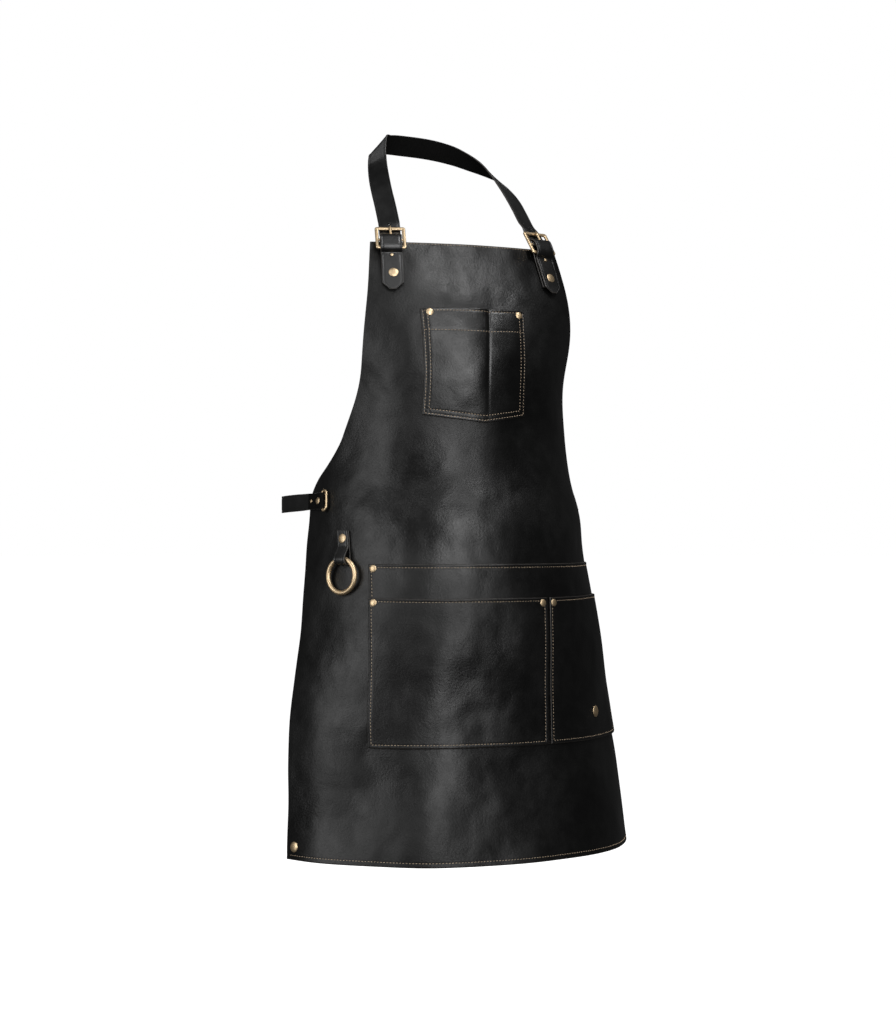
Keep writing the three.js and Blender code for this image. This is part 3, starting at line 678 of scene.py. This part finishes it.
# Neck strap: tails on the bib, up through the buckles and round behind; side 1 is +x, side -1 is -x
neckStrap = {
    "width": 29.0, "thick": 2.4, "tabThick": 2.2, "gap": 0.6,
    "tips": {1: 755.0, -1: 750.5}, "tipHalf": 4.0, "point": 8.5,
    "rivet": 777.0, "low": 32.0, "high": 17.8, "level": 752.0,
    "tailS": 119.1, "lean": 0.13, "tailLift": 6.0,
    # up the strap and out from the hinge bar
    "inBuckle": [
        (-17.3, 1), (-14.7, 4), (-8, 5.9), (-1, 6.6), (2.6, 6.1), (5.2, 4.2), (6.7, 1.7), (7.7, -0.7),
        (9.6, -2.8), (13, -3.8), (25, -3.9), (32, -3.9),
    ],
    # up from the hinge bar, where the strap starts to turn, and over what length
    "twist": (20.0, 14.0),
    # inner edge, then the way across to the outer edge, from side 1 round to side -1
    "route": np.array([
        (88.5, 4, 860, 26, 9, -5), (87, 22.5, 880, 26, 9, -5), (84.5, 41, 900, 26, 9, -5),
        (81, 60, 920, 25, 11, -7), (76.5, 80, 940, 22, 14, -11), (71, 100, 957, 16, 17, -17),
        (57, 114, 971, 9, 16, -22), (38, 121, 981, 4, 13, -25), (5, 124, 988, 0, 10, -26),
        (-38, 121, 990, -4, 9, -26), (-58, 113, 988, -9, 9, -25), (-68, 103, 985, -21, 6, -26),
        (-72, 97, 968, -22, 9, -15), (-74, 90, 953, -22, 13, -12), (-77, 78, 938, -23, 13, -10),
        (-81, 60, 920, -25, 11, -7), (-84.5, 41, 900, -26, 9, -5), (-87, 22.5, 880, -26, 9, -5),
        (-90, 4, 860, -26, 9, -5),
    ], float),
    "foldRow": 11, "foldHalf": 18.5,            # the row that lies along the slanting fold
    "holeUp": 32.0, "holeRadius": 1.5, "holeDeep": 4.0,
}
neckBuckle = {
    # side: round and height of the hinge bar
    "sides": {1: (108.6, 822.5), -1: (111.2, 818.5)},
    "lift": 6.8, "barWide": 2.4, "barThick": 1.7, "width": 36.4, "above": 20.0, "below": 13.5,
    "corner": 3.2, "innerCorner": 0.5, "hinge": 1.7,
    "up": (-0.153, 0.563, 0.81), "across": (0.974, 0.2, -0.105),
    "prong": 1.7, "prongPast": 1.2, "prongTip": 0.55, "prongTaper": 8.0,
}
bothSides = (("right", 1), ("left", -1))


def buckleAxes(side):
    # origin on the hinge bar; across, up the strap, and out
    up = unit(np.array(neckBuckle["up"]) * (side, 1, 1))
    across = np.array(neckBuckle["across"]) * (1, side, side)
    across = unit(across - up * (across @ up))
    s, z = neckBuckle["sides"][side]
    origin = drape(side * s, z, neckBuckle["lift"])
    return origin, across, up, np.cross(across, up)


def buckleAt(side, a, b, n):
    # a place in the buckle's own axes: across, up and out
    origin, across, up, out = buckleAxes(side)
    a, b, n = np.broadcast_arrays(np.asarray(a, float), np.asarray(b, float), np.asarray(n, float))
    return origin + a[..., None] * across + b[..., None] * up + n[..., None] * out


def tailS(z):
    # how far round the leaning tail lies at a height
    return neckStrap["tailS"] - neckStrap["lean"] * (z - neckStrap["level"])


def strapHalf(side):
    # stations from a tail's tip up the bib and through its buckle
    across = buckleAxes(side)[1] * side
    rows = []
    hinge = neckBuckle["sides"][side][1]
    full = neckStrap["width"] / 2
    lift = neckStrap["tailLift"]
    tip = neckStrap["tips"][side]
    for z, half in (
        (tip, neckStrap["tipHalf"]), (tip + neckStrap["point"], full), (neckStrap["rivet"], full),
        (hinge - neckStrap["low"], full), (hinge - neckStrap["high"], full),
    ):
        s = side * tailS(z)
        rows.append((drape(s, z, lift), roundAt(s, z) * side, half))
    routeAcross = unit(neckStrap["route"][0 if side == 1 else -1, 3:])
    start, over = neckStrap["twist"]
    for up, out in neckStrap["inBuckle"]:
        turned = np.clip((up - start) / over, 0, 1)
        wayAcross = unit(across * (1 - turned) + routeAcross * turned)
        rows.append((buckleAt(side, 0, up, out), wayAcross, full))
    return rows


route = []
for k, row in enumerate(neckStrap["route"]):
    across = unit(row[3:])
    half = neckStrap["foldHalf"] if k == neckStrap["foldRow"] else neckStrap["width"] / 2
    route.append((row[:3] + across * half, across, half))
wholeStrap = strapHalf(1) + route + strapHalf(-1)[::-1]
neckHide = strapAlong("neck_strap_hide", wholeStrap, neckStrap["thick"], 1.6, ["neck_strap"])


def punch(piece, at, axis, radius, depth):
    # cuts a round hole with a Boolean, then removes the punch
    facets = 24
    turn = np.linspace(0, 2 * np.pi, facets, endpoint=False)
    first = unit(np.cross(axis, (0.3, 0.2, 0.9)))            # any way that is not along the axis
    second = np.cross(axis, first)
    rim = radius * (np.cos(turn)[:, None] * first + np.sin(turn)[:, None] * second)
    points = np.concatenate([at - axis * depth + rim, at + axis * depth + rim])
    k = np.arange(facets)
    on = np.roll(k, -1)
    ends = [k[::-1].tolist(), (k + facets).tolist()]
    faces = np.stack([k, on, on + facets, k + facets], -1).tolist() + ends
    mesh = bpy.data.meshes.new("punch")
    mesh.from_pydata(toFrame(points), [], faces)
    tool = bpy.data.objects.new("punch", mesh)
    bpy.context.scene.collection.objects.link(tool)
    cutting = piece.modifiers.new("punched", "BOOLEAN")
    cutting.operation = "DIFFERENCE"
    cutting.solver = "EXACT"
    cutting.object = tool
    bpy.context.view_layer.update()
    graph = bpy.context.evaluated_depsgraph_get()
    done = bpy.data.meshes.new_from_object(piece.evaluated_get(graph))
    piece.modifiers.clear()
    piece.data = done
    bpy.data.objects.remove(tool)


for word, side in bothSides:
    holeAt = buckleAt(side, 0, neckStrap["holeUp"], neckStrap["inBuckle"][-1][1])
    punch(neckHide, holeAt, buckleAxes(side)[3], neckStrap["holeRadius"], neckStrap["holeDeep"])

# Tabs: each lies on the bib under its tail and turns round the hinge bar of its buckle
neckTab = {"past": 1.0, "below": 20.0, "under": (-6.0, 0.6), "bends": [-90, -55, -20, 15, 50, 90, 130, 165]}
eyeRadius = neckBuckle["hinge"] + barClear + neckStrap["tabThick"] / 2
tabLift = neckStrap["gap"] + neckStrap["tabThick"] / 2
tabHalf = neckStrap["width"] / 2
for word, side in bothSides:
    across = buckleAxes(side)[1]
    rows = []
    hinge = neckBuckle["sides"][side][1]
    shoulder = neckStrap["tips"][side] + neckStrap["point"]
    for z in (
        shoulder + neckTab["past"], neckStrap["rivet"],
        hinge - neckStrap["low"], hinge - neckTab["below"],
    ):
        s = side * tailS(z)
        rows.append((drape(s, z, tabLift), roundAt(s, z), tabHalf))
    underUp, underOut = neckTab["under"]
    rows.append((buckleAt(side, 0, underUp, -eyeRadius - underOut), across, tabHalf))
    for turn in np.radians(neckTab["bends"]):
        place = buckleAt(side, 0, eyeRadius * math.cos(turn), eyeRadius * math.sin(turn))
        rows.append((place, across, tabHalf))
    strapAlong(f"neck_tab_hide_{word}", rows, neckStrap["tabThick"], 1.6, [f"neck_tab_{word}"])

# Waist strap: folded round the bar of its frame, round the back, flat at the far corner
waistStrap = {
    "width": 23.5, "thick": 2.2, "height": 471.5, "gap": 0.6, "bar": -245.0, "bow": -236.5, "wire": 1.6,
    "frameHeight": 28.5, "barCorner": 1.9, "bowCorner": 6.0,
    "end": [(-282, 4.8), (-273, 4.8), (-262, 5.0), (-255, 5.9), (-250.5, 6.8)],      # round, lift
    "bends": [90, 60, 30, 0, -30, -60, -90],
    "under": [-251, -263, -275, -287],
    "far": [287, 275, 262, 246],
    # half of the way round the back: x, y, how far it has sunk
    "route": [
        (202, 105, 1), (206, 130, 2), (204, 155, 2.6), (194, 182, 2), (174, 206, 0.5), (142, 226, -2.5),
        (100, 239, -4), (50, 246, -4.5),
    ],
    "middle": (0, 248, -4.5),
}
waistHeight = waistStrap["height"]
waistLow = waistStrap["gap"] + waistStrap["thick"] / 2
waistTurn = waistStrap["wire"] + barClear + waistStrap["thick"] / 2
barAt = drape(waistStrap["bar"], waistHeight, waistLow + waistTurn)
frameUp = upAt(waistStrap["bar"], waistHeight)
frameOut = outwardAt(waistStrap["bar"], waistHeight)
frameRound = np.cross(frameUp, frameOut)
waistHalf = waistStrap["width"] / 2


def waistPlace(s, lift):
    # a station on the hide at the waist strap's height
    return drape(s, waistHeight, lift), upAt(s, waistHeight), waistHalf


waistRows = [waistPlace(s, lift) for s, lift in waistStrap["end"]]
for turn in np.radians(waistStrap["bends"]):
    place = barAt + waistTurn * (math.cos(turn) * frameRound + math.sin(turn) * frameOut)
    waistRows.append((place, frameUp, waistHalf))
waistRows += [waistPlace(s, waistLow) for s in waistStrap["under"]]
waistWay = [(-x, y, drop) for x, y, drop in waistStrap["route"]]
waistWay += [waistStrap["middle"]] + waistStrap["route"][::-1]
upright = np.array([0.0, 0, 1])
waistRows += [(np.array([x, y, waistHeight - drop]), upright, waistHalf) for x, y, drop in waistWay]
waistRows += [waistPlace(s, waistLow) for s in waistStrap["far"]]
strapAlong("waist_strap_hide", waistRows, waistStrap["thick"], 2.4, ["waist_strap"])

# Ring loop: down the body, round the ring, back up over itself
ringLoop = {
    "s": -211.0, "width": 18.5, "top": 432.5, "rivet": 422.0, "fold": 411.0, "inner": 5.6, "thick": 2.2,
    "swing": 393.6, "gap": 0.6, "bends": [180, 150, 120, 90, 60, 30, 0],
    "straight": 4.0,                             # above the ring's axis, where the loop starts to bend
    "closing": [(5.0, 4.2)],                     # above the axis and out from it, on the way back
    "meeting": [(-1.0, 0.8), (2.0, 0.0)],        # above the fold and off the lower layer
}
swing = ringLoop["swing"]
loopLow = ringLoop["gap"] + ringLoop["thick"] / 2
loopHigh = loopLow + ringLoop["thick"] + ringLoop["gap"]
loopTurn = ringLoop["inner"] + ringLoop["thick"] / 2
ringLift = ringLoop["gap"] + ringLoop["thick"] + ringLoop["inner"]
loopDown = (ringLoop["top"], ringLoop["rivet"], ringLoop["fold"], swing + ringLoop["straight"])
loopWay = [(z, loopLow) for z in loopDown]
for turn in np.radians(ringLoop["bends"]):
    loopWay.append((swing - loopTurn * math.sin(turn), ringLift + loopTurn * math.cos(turn)))
loopWay += [(swing + up, ringLift + out) for up, out in ringLoop["closing"]]
loopWay += [(ringLoop["fold"] + up, loopHigh + off) for up, off in ringLoop["meeting"]]
loopWay += [(ringLoop["rivet"], loopHigh), (ringLoop["top"], loopHigh)]
loopRows = [
    (drape(ringLoop["s"], z, lift), roundAt(ringLoop["s"], z), ringLoop["width"] / 2) for z, lift in loopWay
]
strapAlong("ring_loop_hide", loopRows, ringLoop["thick"], 1.0, ["ring_loop"])
print("straps, tabs and loop made")


# Brass: bent wire, turned rivets and studs
wireFacets = 18


def wireSurface(path, normal, radius, closed):
    # a circle carried along a flat path, its two axes the path's normal and the way across the wire
    if closed:
        tangent = unit(np.roll(path, -1, axis=0) - np.roll(path, 1, axis=0))
    else:
        tangent = unit(np.gradient(path, axis=0))
    across = unit(np.cross(tangent, normal))
    turn = np.linspace(0, 2 * np.pi, wireFacets, endpoint=False)
    radius = np.broadcast_to(np.asarray(radius, float), len(path))[:, None, None]
    ring = np.cos(turn)[None, :, None] * across[:, None] + np.sin(turn)[None, :, None] * normal
    points = (path[:, None] + radius * ring).reshape(-1, 3)
    index = np.arange(len(path) * wireFacets).reshape(len(path), wireFacets)
    onward = np.roll(index, -1, axis=1)
    nextRow, nextOn = np.roll(index, -1, axis=0), np.roll(onward, -1, axis=0)
    quads = np.stack([index, onward, nextOn, nextRow], -1)
    if closed:
        return points, quads.reshape(-1, 4).tolist()
    faces = quads[:-1].reshape(-1, 4).tolist()
    return points, faces + [index[0][::-1].tolist(), index[-1].tolist()]


def roundedLoop(left, right, bottom, top, leftCorner, rightCorner):
    # a rectangle whose corners are quarter circles
    quarter = np.radians(np.linspace(0, 90, 10))
    parts = []
    for a, b, start, corner in (
        (right - rightCorner, bottom + rightCorner, -90, rightCorner),
        (right - rightCorner, top - rightCorner, 0, rightCorner),
        (left + leftCorner, top - leftCorner, 90, leftCorner),
        (left + leftCorner, bottom + leftCorner, 180, leftCorner),
    ):
        turn = np.radians(start) + quarter
        parts.append(np.stack([a + corner * np.cos(turn), b + corner * np.sin(turn)], -1))
    return np.concatenate(parts)


def joined(*parts):
    # several surfaces as one, with the later faces counted on from the earlier points
    points, faces, base = [], [], 0
    for somePoints, someFaces in parts:
        points.append(somePoints)
        faces += [[k + base for k in face] for face in someFaces]
        base += len(somePoints)
    return np.concatenate(points), faces


def flatFrame(place, normal, half, bottom, top, wide, thick, corner):
    # a bar between an outer and an inner rounded rectangle, its section a squarish oval
    outer = roundedLoop(-half - wide, half + wide, bottom - wide, top + wide, corner, corner)
    inside = neckBuckle["innerCorner"]
    inner = roundedLoop(-half + wide, half - wide, bottom + wide, top - wide, inside, inside)
    middle, reach = (outer + inner) / 2, (outer - inner) / 2
    turn = np.linspace(0, 2 * np.pi, wireFacets, endpoint=False)
    over = np.sign(np.cos(turn)) * np.abs(np.cos(turn)) ** 0.7
    rise = thick * np.sign(np.sin(turn)) * np.abs(np.sin(turn)) ** 0.7
    flat = middle[:, None] + reach[:, None] * over[None, :, None]
    points = place(flat[..., 0], flat[..., 1]) + rise[None, :, None] * normal
    index = np.arange(len(middle) * wireFacets).reshape(len(middle), wireFacets)
    onward = np.roll(index, -1, axis=1)
    quads = np.stack([index, np.roll(index, -1, axis=0), np.roll(onward, -1, axis=0), onward], -1)
    return points.reshape(-1, 3), quads.reshape(-1, 4).tolist()


for word, side in bothSides:
    origin, across, up, out = buckleAxes(side)
    half = neckBuckle["width"] / 2
    hinge = buckleAt(side, np.linspace(-half, half, 12), 0, 0)
    points, faces = joined(
        flatFrame(lambda a, b: buckleAt(side, a, b, 0), out, half, -neckBuckle["below"], neckBuckle["above"],
                  neckBuckle["barWide"], neckBuckle["barThick"], neckBuckle["corner"]),
        wireSurface(hinge, out, neckBuckle["hinge"], False),
    )
    putPiece(f"neck_buckle_brass_{word}", points, faces, brass, [f"neck_buckle_{word}"])

    # the prong hooks round the hinge bar and lies over the top bar
    hook = neckBuckle["hinge"] + barClear + neckBuckle["prong"]
    bend = np.radians([90, 45, 0, -45, -90, -125])
    top = neckBuckle["above"]
    ups = np.concatenate([[top + neckBuckle["prongPast"], top - 2, 12, 4], -hook * np.cos(bend)])
    outs = np.concatenate([[hook + 0.1, hook + 0.1, hook + 0.05, hook], hook * np.sin(bend)])
    stops = np.concatenate([[0.0], np.cumsum(np.hypot(np.diff(ups), np.diff(outs)))])
    run = np.linspace(0, stops[-1], 60)
    path = buckleAt(side, 0, curveThrough(stops, ups, run), curveThrough(stops, outs, run))
    tip = neckBuckle["prongTip"]
    taper = neckBuckle["prong"] * np.clip(tip + run / neckBuckle["prongTaper"], tip, 1.0)
    points, faces = wireSurface(path, across, taper, False)
    putPiece(f"prong_brass_{word}", points, faces, brass, [f"prong_{word}"])

flat = roundedLoop(0, waistStrap["bow"] - waistStrap["bar"], -waistStrap["frameHeight"] / 2,
                   waistStrap["frameHeight"] / 2, waistStrap["barCorner"], waistStrap["bowCorner"])
framePath = barAt + flat[:, :1] * frameRound + flat[:, 1:] * frameUp
points, faces = wireSurface(framePath, frameOut, waistStrap["wire"], True)
putPiece("waist_frame_brass", points, faces, brass, ["waist_frame"])

toolRing = {"radius": 22.5, "wire": 3.3, "rise": 1.0, "off": 1.2, "facets": 96}
ringTop = drape(ringLoop["s"], swing, ringLift)
ringAcross = roundAt(ringLoop["s"], swing)
ringLow = drape(ringLoop["s"], swing - 2 * toolRing["radius"], toolRing["wire"] + toolRing["off"])
ringDown = ringLow - ringTop
ringDown = unit(ringDown - ringAcross * (ringDown @ ringAcross))
ringMiddle = ringTop + ringDown * (toolRing["radius"] - toolRing["rise"])
turn = np.linspace(0, 2 * np.pi, toolRing["facets"], endpoint=False)[:, None]
ringPath = ringMiddle + toolRing["radius"] * (np.sin(turn) * ringAcross - np.cos(turn) * ringDown)
points, faces = wireSurface(ringPath, np.cross(ringAcross, ringDown), toolRing["wire"], True)
putPiece("tool_ring_brass", points, faces, brass, ["tool_ring"], body="ring")


# Every rivet's form: heights of the head's rim, radius of the post, radius and thickness of the cap behind
rivetForm = {
    "rim": 0.35, "rimLow": 0.22, "post": 1.6, "cap": 3.6, "capThick": 0.9, "capRound": 0.3, "facets": 32,
}


def turnedRivet(name, at, axis, radius, dome, grip, stands):
    # a profile turned about its axis: a domed head with a soft rim, a post, and a flat cap behind
    share = np.linspace(0, 0.94, 9)
    headUp = rivetForm["rim"] + (dome - rivetForm["rim"]) * (1 - share**2.4)
    cap, post, back = min(rivetForm["cap"], radius), rivetForm["post"], -grip - rivetForm["capThick"]
    profile = np.concatenate([
        np.stack([radius * share, headUp], -1),
        [(radius, rivetForm["rimLow"]), (radius * 0.985, 0.0), (post, 0.0), (post, -grip), (cap, -grip),
         (cap, back + rivetForm["capRound"]), (cap * 0.85, back), (0.0, back)],
    ])
    facets = rivetForm["facets"]
    turn = np.linspace(0, 2 * np.pi, facets, endpoint=False)
    first = unit(np.cross(axis, (0.0, 0.0, 1.0)))
    second = np.cross(axis, first)
    ring = np.cos(turn)[:, None] * first + np.sin(turn)[:, None] * second
    inner = profile[1:-1]
    points = at + inner[:, 0, None, None] * ring + inner[:, 1, None, None] * axis
    ends = at + profile[[0, -1], 1][:, None] * axis
    rows = len(inner)
    index = np.arange(rows * facets).reshape(rows, facets)
    onward = np.roll(index, -1, axis=1)
    quads = np.stack([index[:-1], index[1:], onward[1:], onward[:-1]], -1).reshape(-1, 4)
    top = np.stack([index[0], onward[0], np.full(facets, rows * facets)], -1)
    low = np.stack([onward[-1], index[-1], np.full(facets, rows * facets + 1)], -1)
    everyPoint = np.concatenate([points.reshape(-1, 3), ends])
    faces = quads.tolist() + top.tolist() + low.tolist()
    putPiece(name, everyPoint, faces, brass, stands)


def chestSeat(s, z):
    # how far the chest pocket's face stands off the hide
    p = (s - chestBox["left"]) / (chestBox["right"] - chestBox["left"])
    q = (z - chestBox["bottom"]) / (chestBox["top"] - chestBox["bottom"])
    return float(chestLift(np.array(p), np.array(q)))


# Rivets and studs: round and height on the hide, head radius, dome, height of the seat
bandFace = pockets["sewn"] + pockets["thick"]
pocketFace = leftBox["seat"] + bandFace
rivets = {
    "chest_rivet_left": (-75, 721, 5.0, 1.5, chestSeat(-75, 721)),
    "chest_rivet_right": (51, 720.5, 5.0, 1.5, chestSeat(51, 720.5)),
    "band_rivet": (-168.5, 383, 5.0, 1.5, bandFace),
    "pocket_rivet_left": (-168.5, 338, 5.0, 1.5, pocketFace),
    "pocket_rivet_middle": (64.5, 337, 5.0, 1.5, pocketFace),
    "pocket_rivet_right": (84, 337, 5.0, 1.5, pocketFace),
    "pocket_stud": (174, 187, 8.0, 2.6, pocketFace + 0.25),
    "corner_rivet": (-298, 17, 7.0, 1.8, 0.0),
    "ring_loop_rivet": (ringLoop["s"], ringLoop["rivet"], 6.3, 1.6, 5.6),
    "waist_rivet": (-251.5, waistHeight, 4.8, 1.5, 7.9),
    "waist_stud": (-273, waistHeight, 2.6, 1.2, 5.9),
    "waist_rivet_far": (262, waistHeight, 4.8, 1.5, 2.8),
    "tail_rivet_left": (-115.5, 772.5, 6.5, 1.3, 7.25),
    "tail_rivet_right": (115.5, 775.5, 6.5, 1.3, 7.25),
}
rivetSet = {"above": 0.1, "through": 2.3}        # over the seat, and past it to the cap behind
for name, (s, z, radius, dome, seat) in rivets.items():
    at = drape(s, z, seat + rivetSet["above"])
    turnedRivet(f"{name}_brass", at, outwardAt(s, z), radius, dome, seat + rivetSet["through"], [name])

tailStud = {"below": 21.3, "radius": 2.2, "dome": 0.9, "seat": 7.3}
for word, side in bothSides:
    z = neckBuckle["sides"][side][1] - tailStud["below"]
    s = side * tailS(z)
    at = drape(s, z, tailStud["seat"])
    turnedRivet(f"tail_stud_brass_{word}", at, outwardAt(s, z), tailStud["radius"], tailStud["dome"],
                tailStud["seat"] + rivetSet["through"], [f"tail_stud_{word}"])
print("brass made")


# Stitching: short arched threads along a line on the leather
stitching = {"pitch": 4.3, "length": 2.7, "thread": 0.44, "slant": 7.0}


def stitchRun(name, lines):
    # each line is rows of s, z and lift; stitches are spaced evenly along it, each one a tapered tube that
    # rises out of the leather and dips back in
    parts = []
    for s, z, lift in lines:
        path = drape(s, z, lift)
        stops = np.concatenate([[0.0], np.cumsum(np.linalg.norm(np.diff(path, axis=0), axis=1))])
        count = max(1, round(stops[-1] / stitching["pitch"]))
        middle = (np.arange(count) + 0.5) * stops[-1] / count
        at = np.stack([np.interp(middle, stops, path[:, k]) for k in range(3)], -1)
        ahead = np.stack([np.interp(middle + 0.4, stops, path[:, k]) for k in range(3)], -1)
        behind = np.stack([np.interp(middle - 0.4, stops, path[:, k]) for k in range(3)], -1)
        normal = outwardAt(np.interp(middle, stops, s), np.interp(middle, stops, z))
        parts.append((at, unit(ahead - behind), normal))
    at, along, normal = (np.concatenate([part[k] for part in parts]) for k in range(3))
    across = np.cross(normal, along)
    slant = math.radians(stitching["slant"])
    leaning = along * math.cos(slant) + across * math.sin(slant)
    across = across * math.cos(slant) - along * math.sin(slant)
    share = np.array([-1.0, -0.72, -0.3, 0.3, 0.72, 1.0])
    turn = np.linspace(0, 2 * np.pi, 6, endpoint=False)
    radius = stitching["thread"] * np.array([0.35, 0.8, 1.0, 1.0, 0.8, 0.35])
    rise = stitching["thread"] * (0.55 - 1.35 * share**4)
    reach = share * stitching["length"] / 2
    flat = radius[:, None] * np.cos(turn)
    high = rise[:, None] + radius[:, None] * np.sin(turn)
    points = (
        at[:, None, None]
        + reach[None, :, None, None] * leaning[:, None, None]
        + flat[None, ..., None] * across[:, None, None]
        + high[None, ..., None] * normal[:, None, None]
    )
    index = np.arange(36).reshape(6, 6)
    onward = np.roll(index, -1, axis=1)
    quads = np.stack([index[:-1], onward[:-1], onward[1:], index[1:]], -1).reshape(-1, 4)
    base = np.arange(len(at))[:, None, None] * 36
    faces = (quads[None] + base).reshape(-1, 4).tolist()
    ends = np.stack([index[0][::-1], index[-1]])
    faces += (ends[None] + base).reshape(-1, 6).tolist()
    putPiece(name, points.reshape(-1, 3), faces, thread, [])
    print("stitches,", name, len(at))


def edgeLines(box, cut, liftAt, row, sewnSides, ends=None):
    # a row of stitching set in from the named sides of a pocket, its ends set in by ends
    width, height = box["right"] - box["left"], box["top"] - box["bottom"]
    run = np.linspace(0, 1, 160)
    ends = row if ends is None else ends
    acrossRun = ends / width + (1 - 2 * ends / width) * run
    upRun = row / height + (1 - 2 * row / height) * run
    found = {
        "left": (0 * run + row / width, upRun),
        "right": (0 * run + 1 - row / width, upRun),
        "bottom": (acrossRun, 0 * run + row / height),
        "top": (acrossRun, 0 * run + 1 - row / height),
    }
    return [(*cut(*found[side]), liftAt(*found[side])) for side in sewnSides]


chestLines = []
for row in chestBox["rows"]:
    chestLines += edgeLines(chestBox, chestCut, chestLift, row, ("left", "right", "bottom"))
chestLines += edgeLines(chestBox, chestCut, chestLift, chestBox["mouthRow"], ("top",))
chestLines += edgeLines(chestBox, chestCut, chestLift, chestBox["turnRow"], ("top",), chestBox["rows"][0])
stitchRun("chest_pocket_stitches", chestLines)

# the band's left side is sewn only above the front pocket
backRow = backBox["rows"][0]
bandLines = edgeLines(backBox, pocketCut(backBox), pocketLift(backBox), backRow, ("top", "right"))
bandZ = np.linspace(leftBox["top"] + 1.5, backBox["top"] - backRow, 60)
bandLines.append((0 * bandZ + backBox["left"] + backRow, bandZ, 0 * bandZ + bandFace - pockets["rowDip"]))
stitchRun("pocket_band_stitches", bandLines)
everySide = ("left", "right", "bottom", "top")
for name, box in (("pocket_left", leftBox), ("pocket_right", rightBox)):
    stitchRun(f"{name}_stitches", edgeLines(box, pocketCut(box), pocketLift(box), box["rows"][0], everySide))
hemS = np.linspace(-apronBody["hemEnd"], apronBody["hemEnd"], 240)
topS = np.linspace(-apronBody["topEnd"], apronBody["topEnd"], 120)
stitchRun("hem_stitches", [
    (hemS, 0 * hemS + apronBody["hemRow"], 0 * hemS - apronBody["rowDip"]),
    (topS, 0 * topS + hide["bibTop"] - apronBody["topRow"], 0 * topS - apronBody["rowDip"]),
])


# Floor, light and camera
studio = {
    "floorBelow": 0.42, "floorRadius": 60.0,  # metres, the first under the hem
    "key": {"turn": -6.0, "away": 2.6, "high": 0.15, "size": (1.0, 2.6), "power": 47.0},
    "side": {"turn": -77.0, "away": 2.4, "high": -0.15, "size": (1.2, 1.9), "power": 22.5},
    "top": {"turn": 32.0, "away": 1.5, "high": 2.1, "size": (0.45, 0.9), "power": 28.0},
    "roof": {"turn": -60.0, "away": 1.6, "high": 1.9, "size": (1.3, 1.0), "power": 8.0},
    "rear": {"turn": 165.0, "away": 2.6, "high": 0.6, "size": (1.6, 1.6), "power": 20.0},
    "aim": (0.0, -0.15, -0.45),
    "roomGrey": 0.05,
}


def softBox(name, box):
    # an area lamp on a circle round the apron, facing it
    lamp = bpy.data.lights.new(name, "AREA")
    lamp.shape = "RECTANGLE"
    lamp.size, lamp.size_y = box["size"]
    lamp.energy = box["power"]
    made = bpy.data.objects.new(name, lamp)
    bpy.context.scene.collection.objects.link(made)
    turn = math.radians(box["turn"])
    aim = np.array(studio["aim"])
    away = box["away"] * np.array([math.sin(turn), -math.cos(turn), 0])
    at = away + (aim[0], aim[1], box["high"])
    made.location = at
    made.rotation_euler = Vector(aim - at).to_track_quat("-Z", "Y").to_euler()


for name in ("key", "side", "top", "roof", "rear"):
    softBox(f"softbox_{name}", studio[name])

world = bpy.data.worlds.new("studio")
bpy.context.scene.world = world
world.use_nodes = True
tree = world.node_tree
backdrop = Signal(tree, tree.nodes.new("ShaderNodeLightPath").outputs["Is Camera Ray"])
grey = studio["roomGrey"]
shade = backdrop.mix((grey, grey, grey, 1.0), (1.0, 1.0, 1.0, 1.0))
backdrop.feed(tree.nodes["Background"].inputs["Color"], shade)

paper, paperShader, place = startMaterial("pale_floor")
paperTone = place.noise(3.0, 2.0).ramp(0.2, 0.8)
paperShade = paperTone.mix((0.86, 0.86, 0.86, 1.0), (0.9, 0.9, 0.9, 1.0))
place.feed(paperShader.inputs["Base Color"], paperShade)
paperShader.inputs["Roughness"].default_value = 0.9
paperShader.inputs["Emission Color"].default_value = (1.0, 1.0, 1.0, 1.0)
paperShader.inputs["Emission Strength"].default_value = 1.0
floorMesh = bpy.data.meshes.new("floor")
rim = np.linspace(0, 2 * np.pi, 64, endpoint=False)
floorLevel = -neckSeat[2] * mm - studio["floorBelow"]
wide = studio["floorRadius"]
rimPoints = np.stack([wide * np.cos(rim), wide * np.sin(rim), np.full(len(rim), floorLevel)], -1)
floorMesh.from_pydata(rimPoints, [], [list(range(len(rim)))])
floorMesh.materials.append(paper)
floor = bpy.data.objects.new("floor", floorMesh)
bpy.context.scene.collection.objects.link(floor)
floor.visible_glossy = False
floor.visible_diffuse = False

lens = {"at": (-1.132, -2.8144, -0.5368), "turn": -22.85, "focal": 75.0, "shift": (-0.0122, 0.0146)}
cameraData = bpy.data.cameras.new("camera")
cameraData.sensor_fit = "VERTICAL"
cameraData.sensor_height = 36.0
cameraData.lens = lens["focal"]
cameraData.shift_x, cameraData.shift_y = lens["shift"]
camera = bpy.data.objects.new("camera", cameraData)
bpy.context.scene.collection.objects.link(camera)
camera.location = lens["at"]
camera.rotation_euler = (math.pi / 2, 0.0, math.radians(lens["turn"]))
bpy.context.scene.camera = camera
bpy.context.scene.view_settings.view_transform = "Standard"
